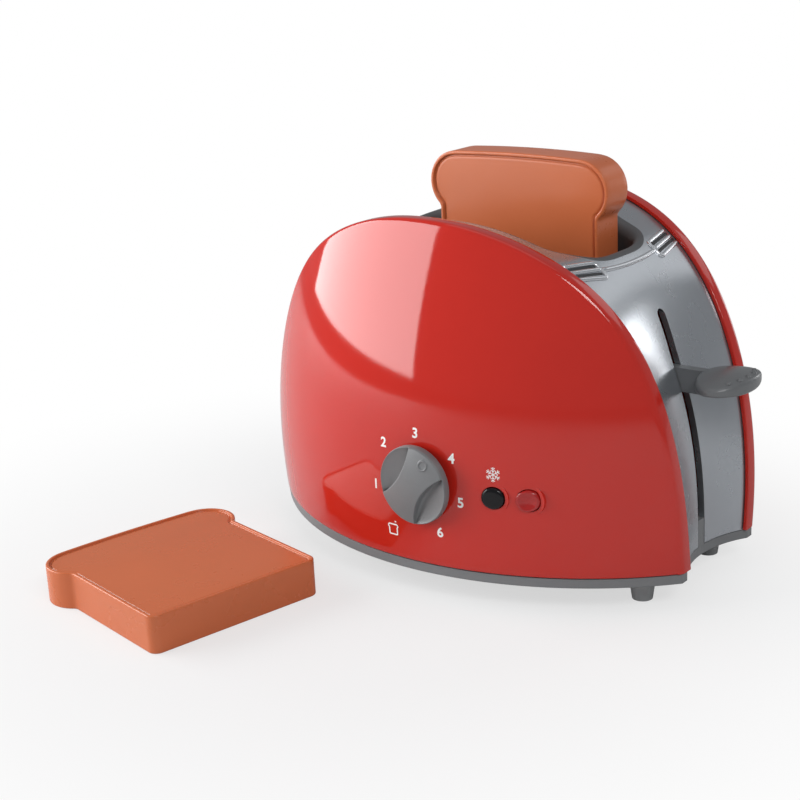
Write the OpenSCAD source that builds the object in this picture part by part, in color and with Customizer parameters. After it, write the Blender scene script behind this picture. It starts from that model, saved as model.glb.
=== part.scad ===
// Toy toaster with an arched red body, a silver centre band and two play slices of toast.
// +Z is up and z = 0 is the table. +X runs along the toaster towards the lever, -Y is the front.
// The origin is the centre of the set's footprint; set_x and set_y carry the toaster there.

/* [Body] */
// length of each side panel along its foot
body_length = 180; // [165:1:195]
// height of the arched panels above their foot
arch_h = 117.4; // [105:0.1:125]
// half width of the body at mid length
mid_half_w = 64.9; // [60:0.1:70]
// half width of the body at its two ends
end_half_w = 25.4; // [22:0.1:29]
// how square the arch is towards its feet
arch_px = 2.147; // [2:0.01:2.4]
// how square the arch is towards its crown
arch_pz = 2.483; // [2.2:0.01:2.7]
// how far the shoulders stand out from the plain arch
arch_shoulder = 0.014; // [0:0.001:0.03]
// outward slope of the side walls at their foot
wall_slope = 0.096; // [0.05:0.001:0.12]
// inward curve of the side walls, per mm of height
wall_bow = 0.00209; // [0.0015:0.00001:0.0025]
// thickness of the panel walls
panel_t = 2.2; // [1.6:0.1:3]
// depth of the panels' rims towards the band
rim_d = 5.3; // [4:0.1:7]
// thickness of the panels' rims
rim_t = 1.3; // [1:0.1:1.5]

/* [Centre band] */
// thickness of the band
band_t = 2.2; // [1.8:0.1:3]
// step down from a panel's rim to the band
band_step = 1.65; // [1.6:0.05:2.5]
// how far the band reaches in under the rims
band_tuck = 2.2; // [1:0.1:3]
// hollow across the band at its ends
band_dish = 5.5; // [4:0.1:7]
// crown across the band at the top
band_crown = 0.6; // [0:0.1:1]
// extra hollow of the band along the toast slot's sides
band_valley = 4.6; // [3:0.1:5.5]
// half length of the toast slot
slot_a = 48.5; // [47.5:0.1:50]
// half width of the toast slot
slot_b = 24.5; // [23.5:0.1:26]
// how square the toast slot's corners are
slot_p = 4; // [3.5:0.1:5]
// radius of the roll into the toast slot
slot_roll = 4; // [3:0.1:5]
// thickness of the skirt below the toast slot
skirt_t = 1.8; // [1.4:0.1:2.4]
// how far the skirt's lower edge lies below the arch's crown
skirt_drop = 26.7; // [25:0.1:32]
// width of the lever slot
lever_slot_w = 4.6; // [4.4:0.1:6]
// how far the lever slot's top lies below the arch's crown
lever_slot_drop = 34; // [32:0.1:40]
// distance of the ornament's cross ridge from mid length
ridge_x = 55.1; // [54.6:0.1:56]
// half length of the ornament's cross ridge
ridge_half = 17; // [14:0.5:19]
// bow of the cross ridge round the toast slot's end
ridge_bow = 0.9; // [0:0.1:1.5]
// width of the ornament's ridge and ribs
rib_w = 1.3; // [1:0.1:1.5]
// height of the ornament's ridge and ribs
rib_h = 0.9; // [0.3:0.05:1]
// how far the ribs reach out from the middle
rib_out = 33.4; // [30:0.1:33.5]
// pitch of the three ribs
rib_pitch = 2.7; // [2.5:0.1:3]
// lean of the ribs towards mid length
rib_lean = 8.5; // [0:0.5:10]

/* [Base and feet] */
// height of the feet below the lip
foot_h = 9.7; // [7:0.1:12]
// height of the base's visible lip
lip_h = 3.3; // [2.5:0.1:4]
// step in from the panels to the lip
lip_in = 0.5; // [0:0.1:1.5]
// thickness of the base plate
base_t = 2.4; // [2:0.1:3]
// distance of each foot from the body's end
foot_in = 17; // [14:0.5:24]
// distance of each foot from the middle plane
foot_y = 23.5; // [20:0.5:26]
// radius of a foot on the table
foot_r1 = 3.6; // [3:0.1:4.5]
// radius of a foot under the base
foot_r2 = 5; // [4.5:0.1:6]
// top of the tongue that closes the lever slot, above the table
tongue_z = 23; // [20:0.1:26]

/* [Toast] */
// width of a slice at its foot
bread_w = 68.6; // [64:0.1:71]
// width of a slice across its head
bread_head_w = 77; // [74:0.1:80]
// radius of the head's rounded ends, which run in to the neck
bread_head_r = 11.5; // [9:0.1:13]
// height of a slice
bread_h = 73.6; // [71:0.1:76]
// rise of the head's crown above its rounded ends
bread_crown = 0.8; // [0.5:0.1:2]
// radius of the foot's corners
bread_foot_r = 3.5; // [2:0.1:5]
// thickness of a slice
bread_t = 13.8; // [11:0.1:15]
// width of the rim round each face of a slice
crust_w = 1.5; // [1:0.1:4]
// depth of the hollow inside the rim
crust_d = 0.6; // [0.4:0.1:1.5]
// where the standing slice is along the carriage
slice_x = 4.6; // [-4:0.1:6]
// distance of the standing slice from the middle plane
slice_y = 11.5; // [10:0.1:12]
// place of the lying slice's foot edge, along X from the toaster's middle
spare_x = -30.9; // [-40:0.1:-20]
// place of the lying slice's foot edge, along Y from the toaster's middle
spare_y = -115.8; // [-130:0.1:-108]
// direction of the lying slice's foot edge
spare_turn = 78.5; // [60:0.5:100]

/* [Lever and carriage] */
// height of the carriage's platform above the table, at rest
deck_z = 71.9; // [68:0.1:76]
// how far the lever presses down
lever_travel = 44; // [36:0.5:44]
// thickness of the platform's rim and bars
deck_t = 3; // [2.4:0.1:4]
// half length of the platform
deck_a = 45; // [42:0.5:46]
// half width of the platform
deck_b = 19; // [17:0.5:20]
// distance of the guide rods from mid length
rod_x = 56; // [55:0.1:57]
// radius of the guide rods
rod_r = 2; // [1.5:0.1:2.5]
// length of the sleeves that run on the rods
sleeve_h = 12; // [9:0.5:13]
// height of the middle of the lever above the table
lever_z = 76.3; // [73:0.1:77]
// how far the paddle's middle stands out beyond the body's end
paddle_out = 2.5; // [2.5:0.1:5]
// half length of the paddle along X
paddle_a = 9.4; // [8:0.1:9.4]
// half width of the paddle
paddle_b = 15.5; // [13:0.1:17]
// thickness of the paddle in its middle
paddle_t = 5.6; // [5.2:0.1:7]
// radius of the paddle's domed top
paddle_dome = 55; // [50:1:200]
// radius of the paddle's flatter underside
paddle_under = 150; // [120:1:240]
// height of the lever's stalk
stalk_h = 8.4; // [7:0.1:9]
// clearance of the stalk in the lever slot, each side
stalk_gap = 0.4; // [0.3:0.05:0.6]
// wire radius of the return springs
spring_wire = 0.45; // [0.35:0.05:0.5]
// radius of the return springs to the middle of the wire
spring_r = 3.4; // [3.1:0.1:3.6]
// coils of each return spring
spring_n = 8; // [6:1:9]

// how far the guide rods end below the arch's crown
rod_drop = 31.7; // [30:0.1:34]
// place of the latch's pin along X
latch_x = 40; // [34:0.5:41]
// distance of the latch's pin from the middle plane, towards the front
latch_out = 30; // [28:0.5:32]
// height of the latch's pin above the table
latch_z = 31; // [29:0.5:32]
// width of the latch and of the carriage's catch
latch_w = 4; // [3:0.1:5]
// radius of the latch's pin
pin_r = 1; // [0.8:0.1:1.2]
// thickness of the ears that carry the pin
ear_t = 1.8; // [1.5:0.1:2.2]

/* [Dial and buttons] */
// dial's middle along X
dial_x = 9.8; // [4:0.1:11]
// dial's height above the table
dial_z = 43.4; // [40:0.1:46]
// radius of the dial
dial_r = 13.9; // [13:0.1:14.5]
// how far the dial stands off the panel
dial_h = 5.2; // [4.8:0.1:7]
// radius of the dial's domed front
dial_dome = 49; // [46:1:90]
// thickness of the dial's flange
dial_flange = 2; // [1.6:0.1:2.4]
// radius of the two finger scoops
scoop_r = 24; // [18:0.5:30]
// width of the dial's grip at its waist
waist_w = 10.6; // [9:0.1:12]
// distance of the ring-shaped mark from the dial's middle
mark_r = 10.4; // [8:0.1:11]
// turn of the grip from upright
grip_turn = 34; // [10:1:45]
// radius of the dial's shaft
shaft_r = 3; // [2.5:0.1:3.5]
// notches in the dial's detent wheel
notch_n = 14; // [12:1:16]
// defrost button's middle along X
defrost_x = 37.3; // [35:0.1:38]
// stop button's middle along X
stop_x = 48.8; // [48:0.1:50]
// height of both buttons above the table
button_z = 41.5; // [39:0.1:44]
// radius of a button's cap
button_r = 3.75; // [3.2:0.05:4]
// how far a button stands off the panel
button_h = 1.2; // [1:0.1:2]
// how far a button presses in
button_travel = 1.5; // [1:0.1:1.6]
// radius of a button's stem
stem_r = 1.6; // [1.4:0.1:1.8]
// length of a button's cap behind the panel's face
cap_l = 5; // [4:0.1:5.5]
// length of the buttons' guide tubes
tube_in = 12; // [11.5:0.5:13]
// length of the dial's bearing
dial_in = 10; // [8:0.5:11]
// thickness of the detent wheel
wheel_t = 2; // [1.5:0.1:2.5]
// radius of the detent wheel
wheel_r = 8; // [7:0.5:9]
// length of the detent's leaf spring beyond the dial's axis
leaf_x = 12; // [10:0.5:13]
// thickness of the detent's leaf spring
leaf_t = 0.5; // [0.3:0.05:0.6]

/* [Fits and fixings] */
// gap between pieces that meet
gap = 0.3; // [0.25:0.05:0.4]
// radial clearance of a running shaft or sleeve
run = 0.08; // [0.05:0.01:0.1]
// radial clearance of a fixed rod or screw
seat = 0.05; // [0.03:0.01:0.08]
// radius of a screw's shank
screw_r = 1.3; // [1:0.1:1.5]
// radius of a screw's head
screw_head_r = 2.6; // [2.4:0.1:3]
// length of a screw's shank
screw_l = 11; // [9:0.5:12]
// outer radius of a screw post
post_r = 3.2; // [3:0.1:3.6]
// height of a screw post
post_h = 15; // [14:0.5:18]
// distance of the panels' screws from mid length
post_x = 60; // [50:0.5:62]
// distance of the panels' screws from the middle plane
post_y = 40; // [36:0.5:42]
// distance of the band's screws from the body's end
band_post_in = 17; // [16:0.5:20]
// distance of the band's screws from the middle plane
band_post_y = 12; // [9:0.5:14]
// radius of the studs that hold the feet
foot_stud_r = 1.8; // [1.5:0.1:2.2]

/* [Hidden] */
$fn = 96;
// heights of the seams
lip_z = foot_h;
body_z = lip_z + lip_h + gap;
half_l = body_length / 2;
crown_z = body_z + arch_h;
skirt_z = crown_z - skirt_drop;
lever_slot_z = crown_z - lever_slot_drop;
rod_top = crown_z - rod_drop;
foot_x = half_l - foot_in;
band_post_x = half_l - band_post_in;
paddle_x = half_l + paddle_out;
// the side walls are parts of barrels that stand about these axes
sag = mid_half_w - end_half_w;
wall_r0 = (half_l * half_l + sag * sag) / (2 * sag);
axis_y = wall_r0 - mid_half_w;
big = 400;

function sgn(v) = v < 0 ? -1 : 1;
function wall_r(z) = wall_r0 + wall_slope * z - wall_bow * z * z;
function wall_y(x, z) = sqrt(pow(wall_r(z), 2) - x * x) - axis_y;
function swell(t) = 1 + arch_shoulder * pow(sin(2 * t), 4);
function arch_x(t) = half_l * sgn(sin(t)) * pow(abs(sin(t)), 2 / arch_px) * swell(t);
function arch_z(t) = arch_h * pow(abs(cos(t)), 2 / arch_pz) * swell(t);
// a point of the arch, moved inwards by d along its normal
function arch_dir(t) =
    let (u = [arch_x(t + 0.1) - arch_x(t - 0.1), arch_z(min(t + 0.1, 90)) - arch_z(max(t - 0.1, -90))])
    u / norm(u);
function arch_at(t, d) =
    let (u = abs(t) > 89.5 ? [0, -sgn(t)] : arch_dir(t))
    [arch_x(t) + d * u[1], max(0, arch_z(t) - d * u[0])];
function arch_outline(d, n = 72) = [for (i = [0:n]) arch_at(-90 + 180 * i / n, d)];

// hollow across the band: full at the ends, a slight crown beyond the toast slot's ends,
// and a valley along its sides
function fade(v) = let (k = min(1, max(0, v))) k * k * (3 - 2 * k);
function dish(z) =
    band_dish
    - (band_dish + band_crown) * fade((z / arch_h - 0.55) / 0.37)
    + band_valley * fade((z / arch_h - 0.885) / 0.06);
// distance from the toast slot's outline, and the drop of the roll there
function slot_f(x, y) = pow(pow(abs(x) / slot_a, slot_p) + pow(abs(y) / slot_b, slot_p), 1 / slot_p);
function slot_dist(x, y) =
    let (f = slot_f(x, y), e = 0.5)
    (f - 1) * e / max(0.002, norm([slot_f(abs(x) + e, y) - f, slot_f(x, abs(y) + e) - f]));
function roll(x, y) =
    let (d = min(slot_roll, max(0, slot_dist(x, y))))
    slot_roll - sqrt(slot_roll * slot_roll - pow(slot_roll - d, 2));
// a point of the band: t along the arch, y across it, d below its outer face
function band_half(t) = wall_y(min(half_l, abs(arch_x(t))), arch_z(t)) - rim_d;
function band_at(t, y, d) =
    let (
        w = min(1, abs(y) / band_half(t)),
        p = arch_at(t, band_step + dish(arch_z(t)) * (1 - w * w) + d)
    )
    [p[0], y, max(0, p[1] - (arch_z(t) > 40 ? roll(p[0], y) : 0)) + body_z];

function slot_outline(grow, n = 64) = [
    for (i = [0:n - 1])
        let (t = 360 * i / n)
        [
            (slot_a + grow) * sgn(cos(t)) * pow(abs(cos(t)), 2 / slot_p),
            (slot_b + grow) * sgn(sin(t)) * pow(abs(sin(t)), 2 / slot_p)
        ]
];

// a slice's outline, foot edge on z = 0, moved inwards by d
function arc(cx, cz, r, a0, a1, n) = [
    for (i = [0:n]) let (a = a0 + (a1 - a0) * i / n) [cx + r * cos(a), cz + r * sin(a)]
];
bread_head_z = bread_h - bread_crown - bread_head_r;
function half_bread(d) =
    let (
        hx = bread_head_w / 2 - bread_head_r,
        fx = bread_w / 2 - bread_foot_r,
        neck = -acos((bread_w / 2 - d - hx) / (bread_head_r - d))
    )
    concat(
        arc(fx, bread_foot_r, bread_foot_r - d, -90, 0, 5),
        arc(hx, bread_head_z, bread_head_r - d, neck, 80, 14),
        [for (k = [4:-1:0]) [k * hx / 5, bread_h - d - bread_crown * k * k / 25]]
    );
function bread_outline(d) =
    let (h = half_bread(d), n = len(h))
    concat(h, [for (i = [1:n - 1]) [-h[n - 1 - i][0], h[n - 1 - i][1]]]);

// the set's footprint, for the origin
function spare_at(p) =
    [
        spare_x + p[0] * cos(spare_turn) - p[1] * sin(spare_turn),
        spare_y + p[0] * sin(spare_turn) + p[1] * cos(spare_turn)
    ];
spare_points = [for (p = bread_outline(0)) spare_at(p)];
widest = max([for (z = [0:1:60]) wall_y(0, z)]);
set_x = -(min([for (p = spare_points) p[0]]) + paddle_x + paddle_a) / 2;
set_y = -(min([for (p = spare_points) p[1]]) + widest) / 2;

module placed() {
    translate([set_x, set_y, 0])
        children();
}

module both_sides() {
    for (s = [0, 1])
        mirror([s, 0, 0])
            children();
}

// prism with the arch as its section, from the middle plane out to one side
module arch_prism(d, depth, below = 0) {
    translate([0, 0, body_z])
        rotate([90, 0, 0])
            linear_extrude(depth)
                polygon(concat([[d - half_l, -below]], arch_outline(d), [[half_l - d, -below]]));
}

// barrel whose skin is the front wall's outer face, moved outwards by g
module barrel(g, top = arch_h + 20) {
    translate([0, axis_y, body_z])
        rotate_extrude()
            polygon(concat(
                [[0, -5]],
                [[wall_r(0) + g, -5]],
                [for (i = [0:20]) [wall_r(arch_h * i / 20) + g, arch_h * i / 20]],
                [[wall_r(arch_h) + g, top]],
                [[0, top]]
            ));
}

module post(h) {
    difference() {
        cylinder(h = h, r = post_r);
        translate([0, 0, -1])
            cylinder(h = h - 2, r = screw_r + seat);
    }
}

// the shell that both panels share: doubly curved wall, rim and screw posts
module panel_shell() {
    difference() {
        intersection() {
            arch_prism(0, 80);
            barrel(0);
        }
        translate([0, rim_d, 0])
            barrel(0);
        intersection() {
            translate([0, 1, 0])
                arch_prism(rim_t, 90, 1);
            barrel(-panel_t);
        }
    }
    both_sides()
        translate([post_x, -post_y, body_z])
            post(post_h);
    intersection() {
        both_sides()
            translate([post_x - 0.8, -80, body_z])
                cube([1.6, 80 - post_y - screw_r - 1, post_h]);
        barrel(-panel_t / 2);
    }
}

latch_y = -latch_out;
tube_r = button_r + 1.6;
function tube_y(x) = -wall_y(x, button_z - body_z);
stop_y = tube_y(stop_x);
defrost_y = tube_y(defrost_x);
dial_y = -wall_y(dial_x, dial_z - body_z);

nose_r = 0.7;
leaf_z = dial_z + wheel_r + nose_r + gap;
leaf_y = dial_y + dial_in - 1;
leaf_block = 5;

// guide tube of a button, behind the front wall
module button_tube(x, y) {
    intersection() {
        translate([x, y + tube_in, button_z])
            rotate([90, 0, 0])
                cylinder(h = tube_in + 5, r = tube_r);
        barrel(-panel_t / 2);
    }
}

module button_bore(x, y) {
    translate([x, y + tube_in - 2, button_z])
        rotate([90, 0, 0])
            cylinder(h = 20, r = button_r + gap);
    translate([x, y + tube_in + 1, button_z])
        rotate([90, 0, 0])
            cylinder(h = 20, r = stem_r + run);
}

module front_panel() {
    color([0.78, 0.12, 0.13])
        placed()
            difference() {
                union() {
                    panel_shell();
                    button_tube(stop_x, stop_y);
                    button_tube(defrost_x, defrost_y);
                    intersection() {
                        translate([dial_x, dial_y + dial_in, dial_z])
                            rotate([90, 0, 0])
                                cylinder(h = dial_in, r = shaft_r + 2.4);
                        barrel(-panel_t / 2);
                    }
                    intersection() {
                        translate([dial_x - leaf_x - 1, dial_y, leaf_z - leaf_block / 2])
                            cube([leaf_block, dial_in + wheel_t - 0.5, leaf_block]);
                        barrel(-panel_t / 2);
                    }
                }
                translate([dial_x - leaf_x - seat, leaf_y - seat, leaf_z - seat])
                    cube([leaf_x, wheel_t + 2, leaf_t + 2 * seat]);
                button_bore(stop_x, stop_y);
                button_bore(defrost_x, defrost_y);
                translate([dial_x, dial_y + dial_in + 1, dial_z])
                    rotate([90, 0, 0])
                        cylinder(h = 30, r = shaft_r + run);
            }
}

module rear_panel() {
    color([0.78, 0.12, 0.13])
        placed()
            mirror([0, 1, 0])
                panel_shell();
}

// the band's skin as one grid: outer face, inner face, and the edges that join them.
// Its lines follow the toast slot's sides, with shares of the width inside and outside of them
band_in = [0, 0.3, 0.55, 0.8];
band_out = [0, 0.05, 0.12, 0.22, 0.5, 1];
band_along = [0, 0.17, 0.34, 0.5, 0.64, 0.76, 0.86, 0.94, 1];
band_roll = [0.2, 0.5, 1];
band_low = 14;
slot_end_t = arch_find(slot_a + slot_roll, 0, 89, 20);
half_ts = concat(
    [for (k = band_along) k == 0 ? 0 : arch_find(k * slot_a, 0, 89, 20)],
    [for (k = band_roll) arch_find(slot_a + k * slot_roll, 0, 89, 20)],
    [for (i = [1:band_low]) slot_end_t + (90 - slot_end_t) * i / band_low]
);
band_m = 2 * (len(band_in) + len(band_out) - 1);
function band_lines(t) =
    let (
        far = band_half(t) + band_tuck,
        near = min(slot_b, 0.55 * far),
        one = concat([for (k = band_in) k * near], [for (k = band_out) near + k * (far - near)])
    )
    [for (i = [-band_m / 2:band_m / 2]) sgn(i) * one[abs(i)]];
all_ts = concat([for (i = [len(half_ts) - 1:-1:1]) -half_ts[i]], half_ts);
function band_grid(ts, d) = [for (t = ts) let (ys = band_lines(t)) for (y = ys) band_at(t, y, d)];

// sheet that follows the band between two depths, over the given places along the arch
module band_sheet(ts, outer, inner) {
    n = len(ts) - 1;
    w = band_m + 1;
    k = (n + 1) * w;
    top = n * w;
    cells = [for (i = [0:n - 1], j = [0:band_m - 1]) i * w + j];
    quads = concat(
        [for (c = cells) [c, c + w, c + w + 1, c + 1]],
        [for (c = cells) [k + c, k + c + 1, k + c + w + 1, k + c + w]],
        [for (i = [0:n - 1]) let (c = i * w) [c, k + c, k + c + w, c + w]],
        [for (i = [0:n - 1]) let (c = i * w + band_m) [c, c + w, k + c + w, k + c]],
        [for (c = [0:band_m - 1]) [c, c + 1, k + c + 1, k + c]],
        [for (c = [top:top + band_m - 1]) [c, k + c, k + c + 1, c + 1]]
    );
    polyhedron(
        points = concat(band_grid(ts, outer), band_grid(ts, inner)),
        faces = [for (q = quads, h = [0, 1]) h == 0 ? [q[2], q[1], q[0]] : [q[3], q[2], q[0]]]
    );
}

// height of the band's face above the table, at x along the top
function arch_find(x, lo, hi, n) =
    let (m = (lo + hi) / 2)
    n == 0 ? m : arch_at(m, band_step)[0] < x ? arch_find(x, m, hi, n - 1) : arch_find(x, lo, m, n - 1);
function band_z(x, y) = band_at(arch_find(abs(x), 0, 89, 20), y, 0)[2];

// plan of the ornament beyond the slot's end: a bowed cross ridge with three joined ribs each side
module ornament_plan() {
    ys = [for (i = [-6:6]) i * (ridge_half + rib_w / 2) / 6];
    polygon(concat(
        [for (y = ys) [ridge_x - ridge_bow * pow(y / ridge_half, 2) - rib_w / 2, y]],
        [for (i = [12:-1:0]) [ridge_x - ridge_bow * pow(ys[i] / ridge_half, 2) + rib_w / 2, ys[i]]]
    ));
    rib_x = ridge_x - ridge_bow - 0.4;
    for (s = [0, 1])
        mirror([0, s]) {
            for (k = [-1, 0, 1])
                translate([rib_x + k * rib_pitch, ridge_half + rib_w / 2])
                    rotate(rib_lean)
                        translate([-rib_w / 2, 0])
                            square([rib_w, (rib_out - ridge_half - rib_w / 2) / cos(rib_lean)]);
            translate([rib_x - rib_pitch - rib_w / 2, ridge_half])
                square([2 * rib_pitch + rib_w, rib_w]);
        }
}

// the ornament, raised evenly above the band's face
module ornament() {
    ts = [for (i = [0:6]) arch_find(47 + 2.1 * i, 0, 89, 20)];
    intersection() {
        band_sheet(ts, -rib_h, band_t / 3);
        translate([0, 0, 80])
            linear_extrude(60)
                ornament_plan();
    }
}

rod_foot = lip_z + 1.2;

// prism with the arch as its section, across the whole body
module arch_block(d) {
    translate([0, 80, 0])
        arch_prism(d, 160);
}

// wall below the toast slot, whose top follows the roll's lower edge inside the band's thickness
module slot_skirt() {
    n = 64;
    inner = slot_outline(0, n);
    outer = slot_outline(skirt_t, n);
    tops = [
        for (p = inner)
            band_z(p[0], p[1]) + roll(p[0], p[1]) - slot_roll - band_t / 2
    ];
    points = concat(
        [for (p = inner) [p[0], p[1], skirt_z]],
        [for (p = outer) [p[0], p[1], skirt_z]],
        [for (i = [0:n - 1]) [outer[i][0], outer[i][1], tops[i]]],
        [for (i = [0:n - 1]) [inner[i][0], inner[i][1], tops[i]]]
    );
    quads = [
        for (r = [0:3], i = [0:n - 1])
            let (j = (i + 1) % n, q = (r + 1) % 4)
            [r * n + i, r * n + j, q * n + j, q * n + i]
    ];
    polyhedron(
        points = points,
        faces = [for (q = quads, h = [0, 1]) h == 0 ? [q[2], q[1], q[0]] : [q[3], q[2], q[0]]]
    );
}

module centre_band() {
    color([0.56, 0.58, 0.6])
        placed() {
            difference() {
                union() {
                    band_sheet(all_ts, 0, band_t);
                    both_sides() {
                        ornament();
                        for (s = [-1, 1])
                            translate([band_post_x, s * band_post_y, body_z])
                                post(post_h);
                    }
                }
                translate([0, 0, 80])
                    linear_extrude(60)
                        polygon(slot_outline(0));
                translate([60, -lever_slot_w / 2, 0])
                    cube([40, lever_slot_w, lever_slot_z - lever_slot_w / 2]);
                translate([60, 0, lever_slot_z - lever_slot_w / 2])
                    rotate([0, 90, 0])
                        cylinder(h = 40, r = lever_slot_w / 2);
            }
            slot_skirt();
            difference() {
                intersection() {
                    both_sides()
                        translate([rod_x, 0, rod_top - 3])
                            cylinder(h = 20, r = rod_r + 2.2);
                    arch_block(band_step + 1.6);
                }
                both_sides()
                    translate([rod_x, 0, 0])
                        cylinder(h = rod_top + gap, r = rod_r + seat);
            }
            both_sides()
                for (s = [-1, 1])
                    translate([band_post_x + screw_r + 1, s * band_post_y - 0.8, body_z])
                        cube([9, 1.6, post_h]);
        }
}

scoop_half = end_half_w - rim_d;
end_scoop_r = (scoop_half * scoop_half + band_dish * band_dish) / (2 * band_dish);
band_mid_x = half_l - band_step - band_dish;

// slab with the body's plan, g inside the panels' faces
module plan_slab(g, h) {
    difference() {
        intersection() {
            translate([0, axis_y, 0])
                cylinder(h = h, r = wall_r0 - g);
            translate([0, -axis_y, 0])
                cylinder(h = h, r = wall_r0 - g);
            translate([g - half_l, -big / 2, 0])
                cube([body_length - 2 * g, big, h]);
        }
        both_sides()
            translate([band_mid_x + end_scoop_r + lip_in - g, 0, -1])
                cylinder(h = h + 2, r = end_scoop_r);
    }
}

socket_z = lip_z + 6;

module screw_places() {
    both_sides()
        for (s = [-1, 1]) {
            translate([post_x, s * post_y, lip_z])
                children();
            translate([band_post_x, s * band_post_y, lip_z])
                children();
        }
}

module foot_places() {
    both_sides()
        for (s = [-1, 1])
            translate([foot_x, s * foot_y, 0])
                children();
}

module base_plate() {
    color([0.46, 0.47, 0.48])
        placed()
            difference() {
                union() {
                    translate([0, 0, lip_z])
                        difference() {
                            plan_slab(lip_in, lip_h);
                            translate([0, 0, base_t])
                                plan_slab(lip_in + 3, lip_h);
                        }
                    screw_places()
                        cylinder(h = lip_h, r = post_r);
                    both_sides()
                        translate([rod_x, 0, lip_z])
                            cylinder(h = socket_z - lip_z, r = rod_r + 2.4);
                    translate([band_mid_x - 4, gap - lever_slot_w / 2, lip_z])
                        cube([4, lever_slot_w - 2 * gap, tongue_z - lip_z]);
                    for (s = [-1, 1])
                        translate([latch_x + s * (latch_w / 2 + gap + ear_t / 2), latch_y, 0])
                            ear();
                }
                both_sides()
                    translate([rod_x, 0, rod_foot])
                        cylinder(h = 20, r = rod_r + seat);
                screw_places() {
                    translate([0, 0, -1])
                        cylinder(h = 8, r = screw_r + seat);
                    translate([0, 0, -1])
                        cylinder(h = 2.2, r = screw_head_r + gap);
                }
                foot_places()
                    translate([0, 0, lip_z - 1])
                        cylinder(h = 8, r = foot_stud_r + seat);
                translate([latch_x - 10, latch_y, latch_z])
                    rotate([0, 90, 0])
                        cylinder(h = 20, r = pin_r + seat);
            }
}

module ear() {
    translate([-ear_t / 2, 0, 0])
        rotate([90, 0, 90])
            linear_extrude(ear_t)
                polygon([[-5, lip_z + 1], [5, lip_z + 1], [2.6, latch_z + 2.6], [-2.6, latch_z + 2.6]]);
}

module feet() {
    color([0.3, 0.31, 0.32])
        placed()
            foot_places() {
                cylinder(h = foot_h - seat, r1 = foot_r1, r2 = foot_r2);
                cylinder(h = foot_h + base_t - 0.4, r = foot_stud_r);
            }
}

module screws() {
    color([0.7, 0.7, 0.72])
        placed()
            screw_places() {
                difference() {
                    cylinder(h = 1.15, r = screw_head_r);
                    for (a = [0, 90])
                        rotate([0, 0, a])
                            translate([-1.6, -0.3, -1])
                                cube([3.2, 0.6, 1.6]);
                }
                translate([0, 0, 1])
                    cylinder(h = screw_l, r = screw_r);
            }
}

module guide_rods() {
    color([0.75, 0.76, 0.78])
        placed()
            both_sides()
                translate([rod_x, 0, rod_foot + seat])
                    cylinder(h = rod_top - rod_foot - seat, r = rod_r);
}

deck_top = deck_z - gap;
sleeve_r = rod_r + 2.4;
stalk_top = lever_z + 1.7;
stalk_w = lever_slot_w - 2 * stalk_gap;
blade_end = rod_x + sleeve_r + 9;
blade_w = 1.8;
blade_h = 4.4;
blade_z = stalk_top - 6.4;
leg_y = deck_b + 1.6;
tooth_y = leg_y + 1.6;
tooth_z = deck_top - 10.6;

module carriage() {
    bays = 4;
    bay = (2 * deck_a - deck_t) / bays;
    color([0.24, 0.25, 0.26])
        placed()
            difference() {
                union() {
                    difference() {
                        translate([-deck_a, -deck_b, deck_top - deck_t])
                            cube([2 * deck_a, 2 * deck_b, deck_t]);
                        for (i = [0:bays - 1], s = [0, 1])
                            translate([
                                deck_t + i * bay - deck_a,
                                s == 0 ? deck_t - deck_b : deck_t / 2,
                                deck_top - deck_t - 1
                            ])
                                cube([bay - deck_t, deck_b - 1.5 * deck_t, deck_t + 2]);
                    }
                    translate([-deck_a, -0.8, deck_top - deck_t])
                        cube([2 * deck_a, 1.6, 10]);
                    both_sides() {
                        translate([deck_a - 1, -3.5, deck_top - deck_t])
                            cube([rod_x - deck_a, 7, deck_t]);
                        translate([rod_x, 0, deck_top - deck_t])
                            cylinder(h = sleeve_h, r = sleeve_r);
                    }
                    translate([rod_x + rod_r + 1, -blade_w / 2, blade_z])
                        cube([blade_end - rod_x - rod_r - 1, blade_w, blade_h]);
                    catch_leg();
                }
                both_sides()
                    translate([rod_x, 0, 0])
                        cylinder(h = 120, r = rod_r + run);
            }
}

// leg with the tooth that the latch holds when the carriage is down
module catch_leg() {
    translate([latch_x - latch_w / 2, 0, 0])
        rotate([90, 0, 90])
            linear_extrude(latch_w)
                polygon([
                    [-deck_b, deck_top],
                    [-leg_y, deck_top],
                    [-leg_y, tooth_z],
                    [-tooth_y, tooth_z],
                    [-leg_y, tooth_z - 3],
                    [-deck_b, tooth_z - 3]
                ]);
}

module paddle_outline() {
    polygon([for (i = [0:71]) [paddle_a * cos(5 * i), paddle_b * sin(5 * i)]]);
}

function pip_at(a) = [(paddle_a - 2.2) * cos(a), (paddle_b - 3) * sin(a)];
function dome_drop(p) = paddle_dome - sqrt(paddle_dome * paddle_dome - p * p);

module lever() {
    color([0.33, 0.34, 0.35])
        placed() {
            intersection() {
                translate([paddle_x, 0, stalk_top - 8])
                    linear_extrude(16)
                        paddle_outline();
                translate([paddle_x, 0, stalk_top - paddle_dome])
                    sphere(r = paddle_dome, $fn = 240);
                translate([paddle_x, 0, stalk_top - paddle_t + paddle_under])
                    sphere(r = paddle_under, $fn = 240);
            }
            difference() {
                translate([rod_x + sleeve_r + gap, -stalk_w / 2, stalk_top - stalk_h - 0.6])
                    cube([paddle_x - rod_x - sleeve_r - 6, stalk_w, stalk_h]);
                translate([rod_x, -blade_w / 2 - seat, blade_z - seat])
                    cube([blade_end - rod_x + seat, blade_w + 2 * seat, blade_h + 2 * seat]);
            }
            for (a = [-48:24:48])
                translate([paddle_x + pip_at(a)[0], pip_at(a)[1], stalk_top - dome_drop(pip_at(a))])
                    sphere(r = 0.7);
        }
}

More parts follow.
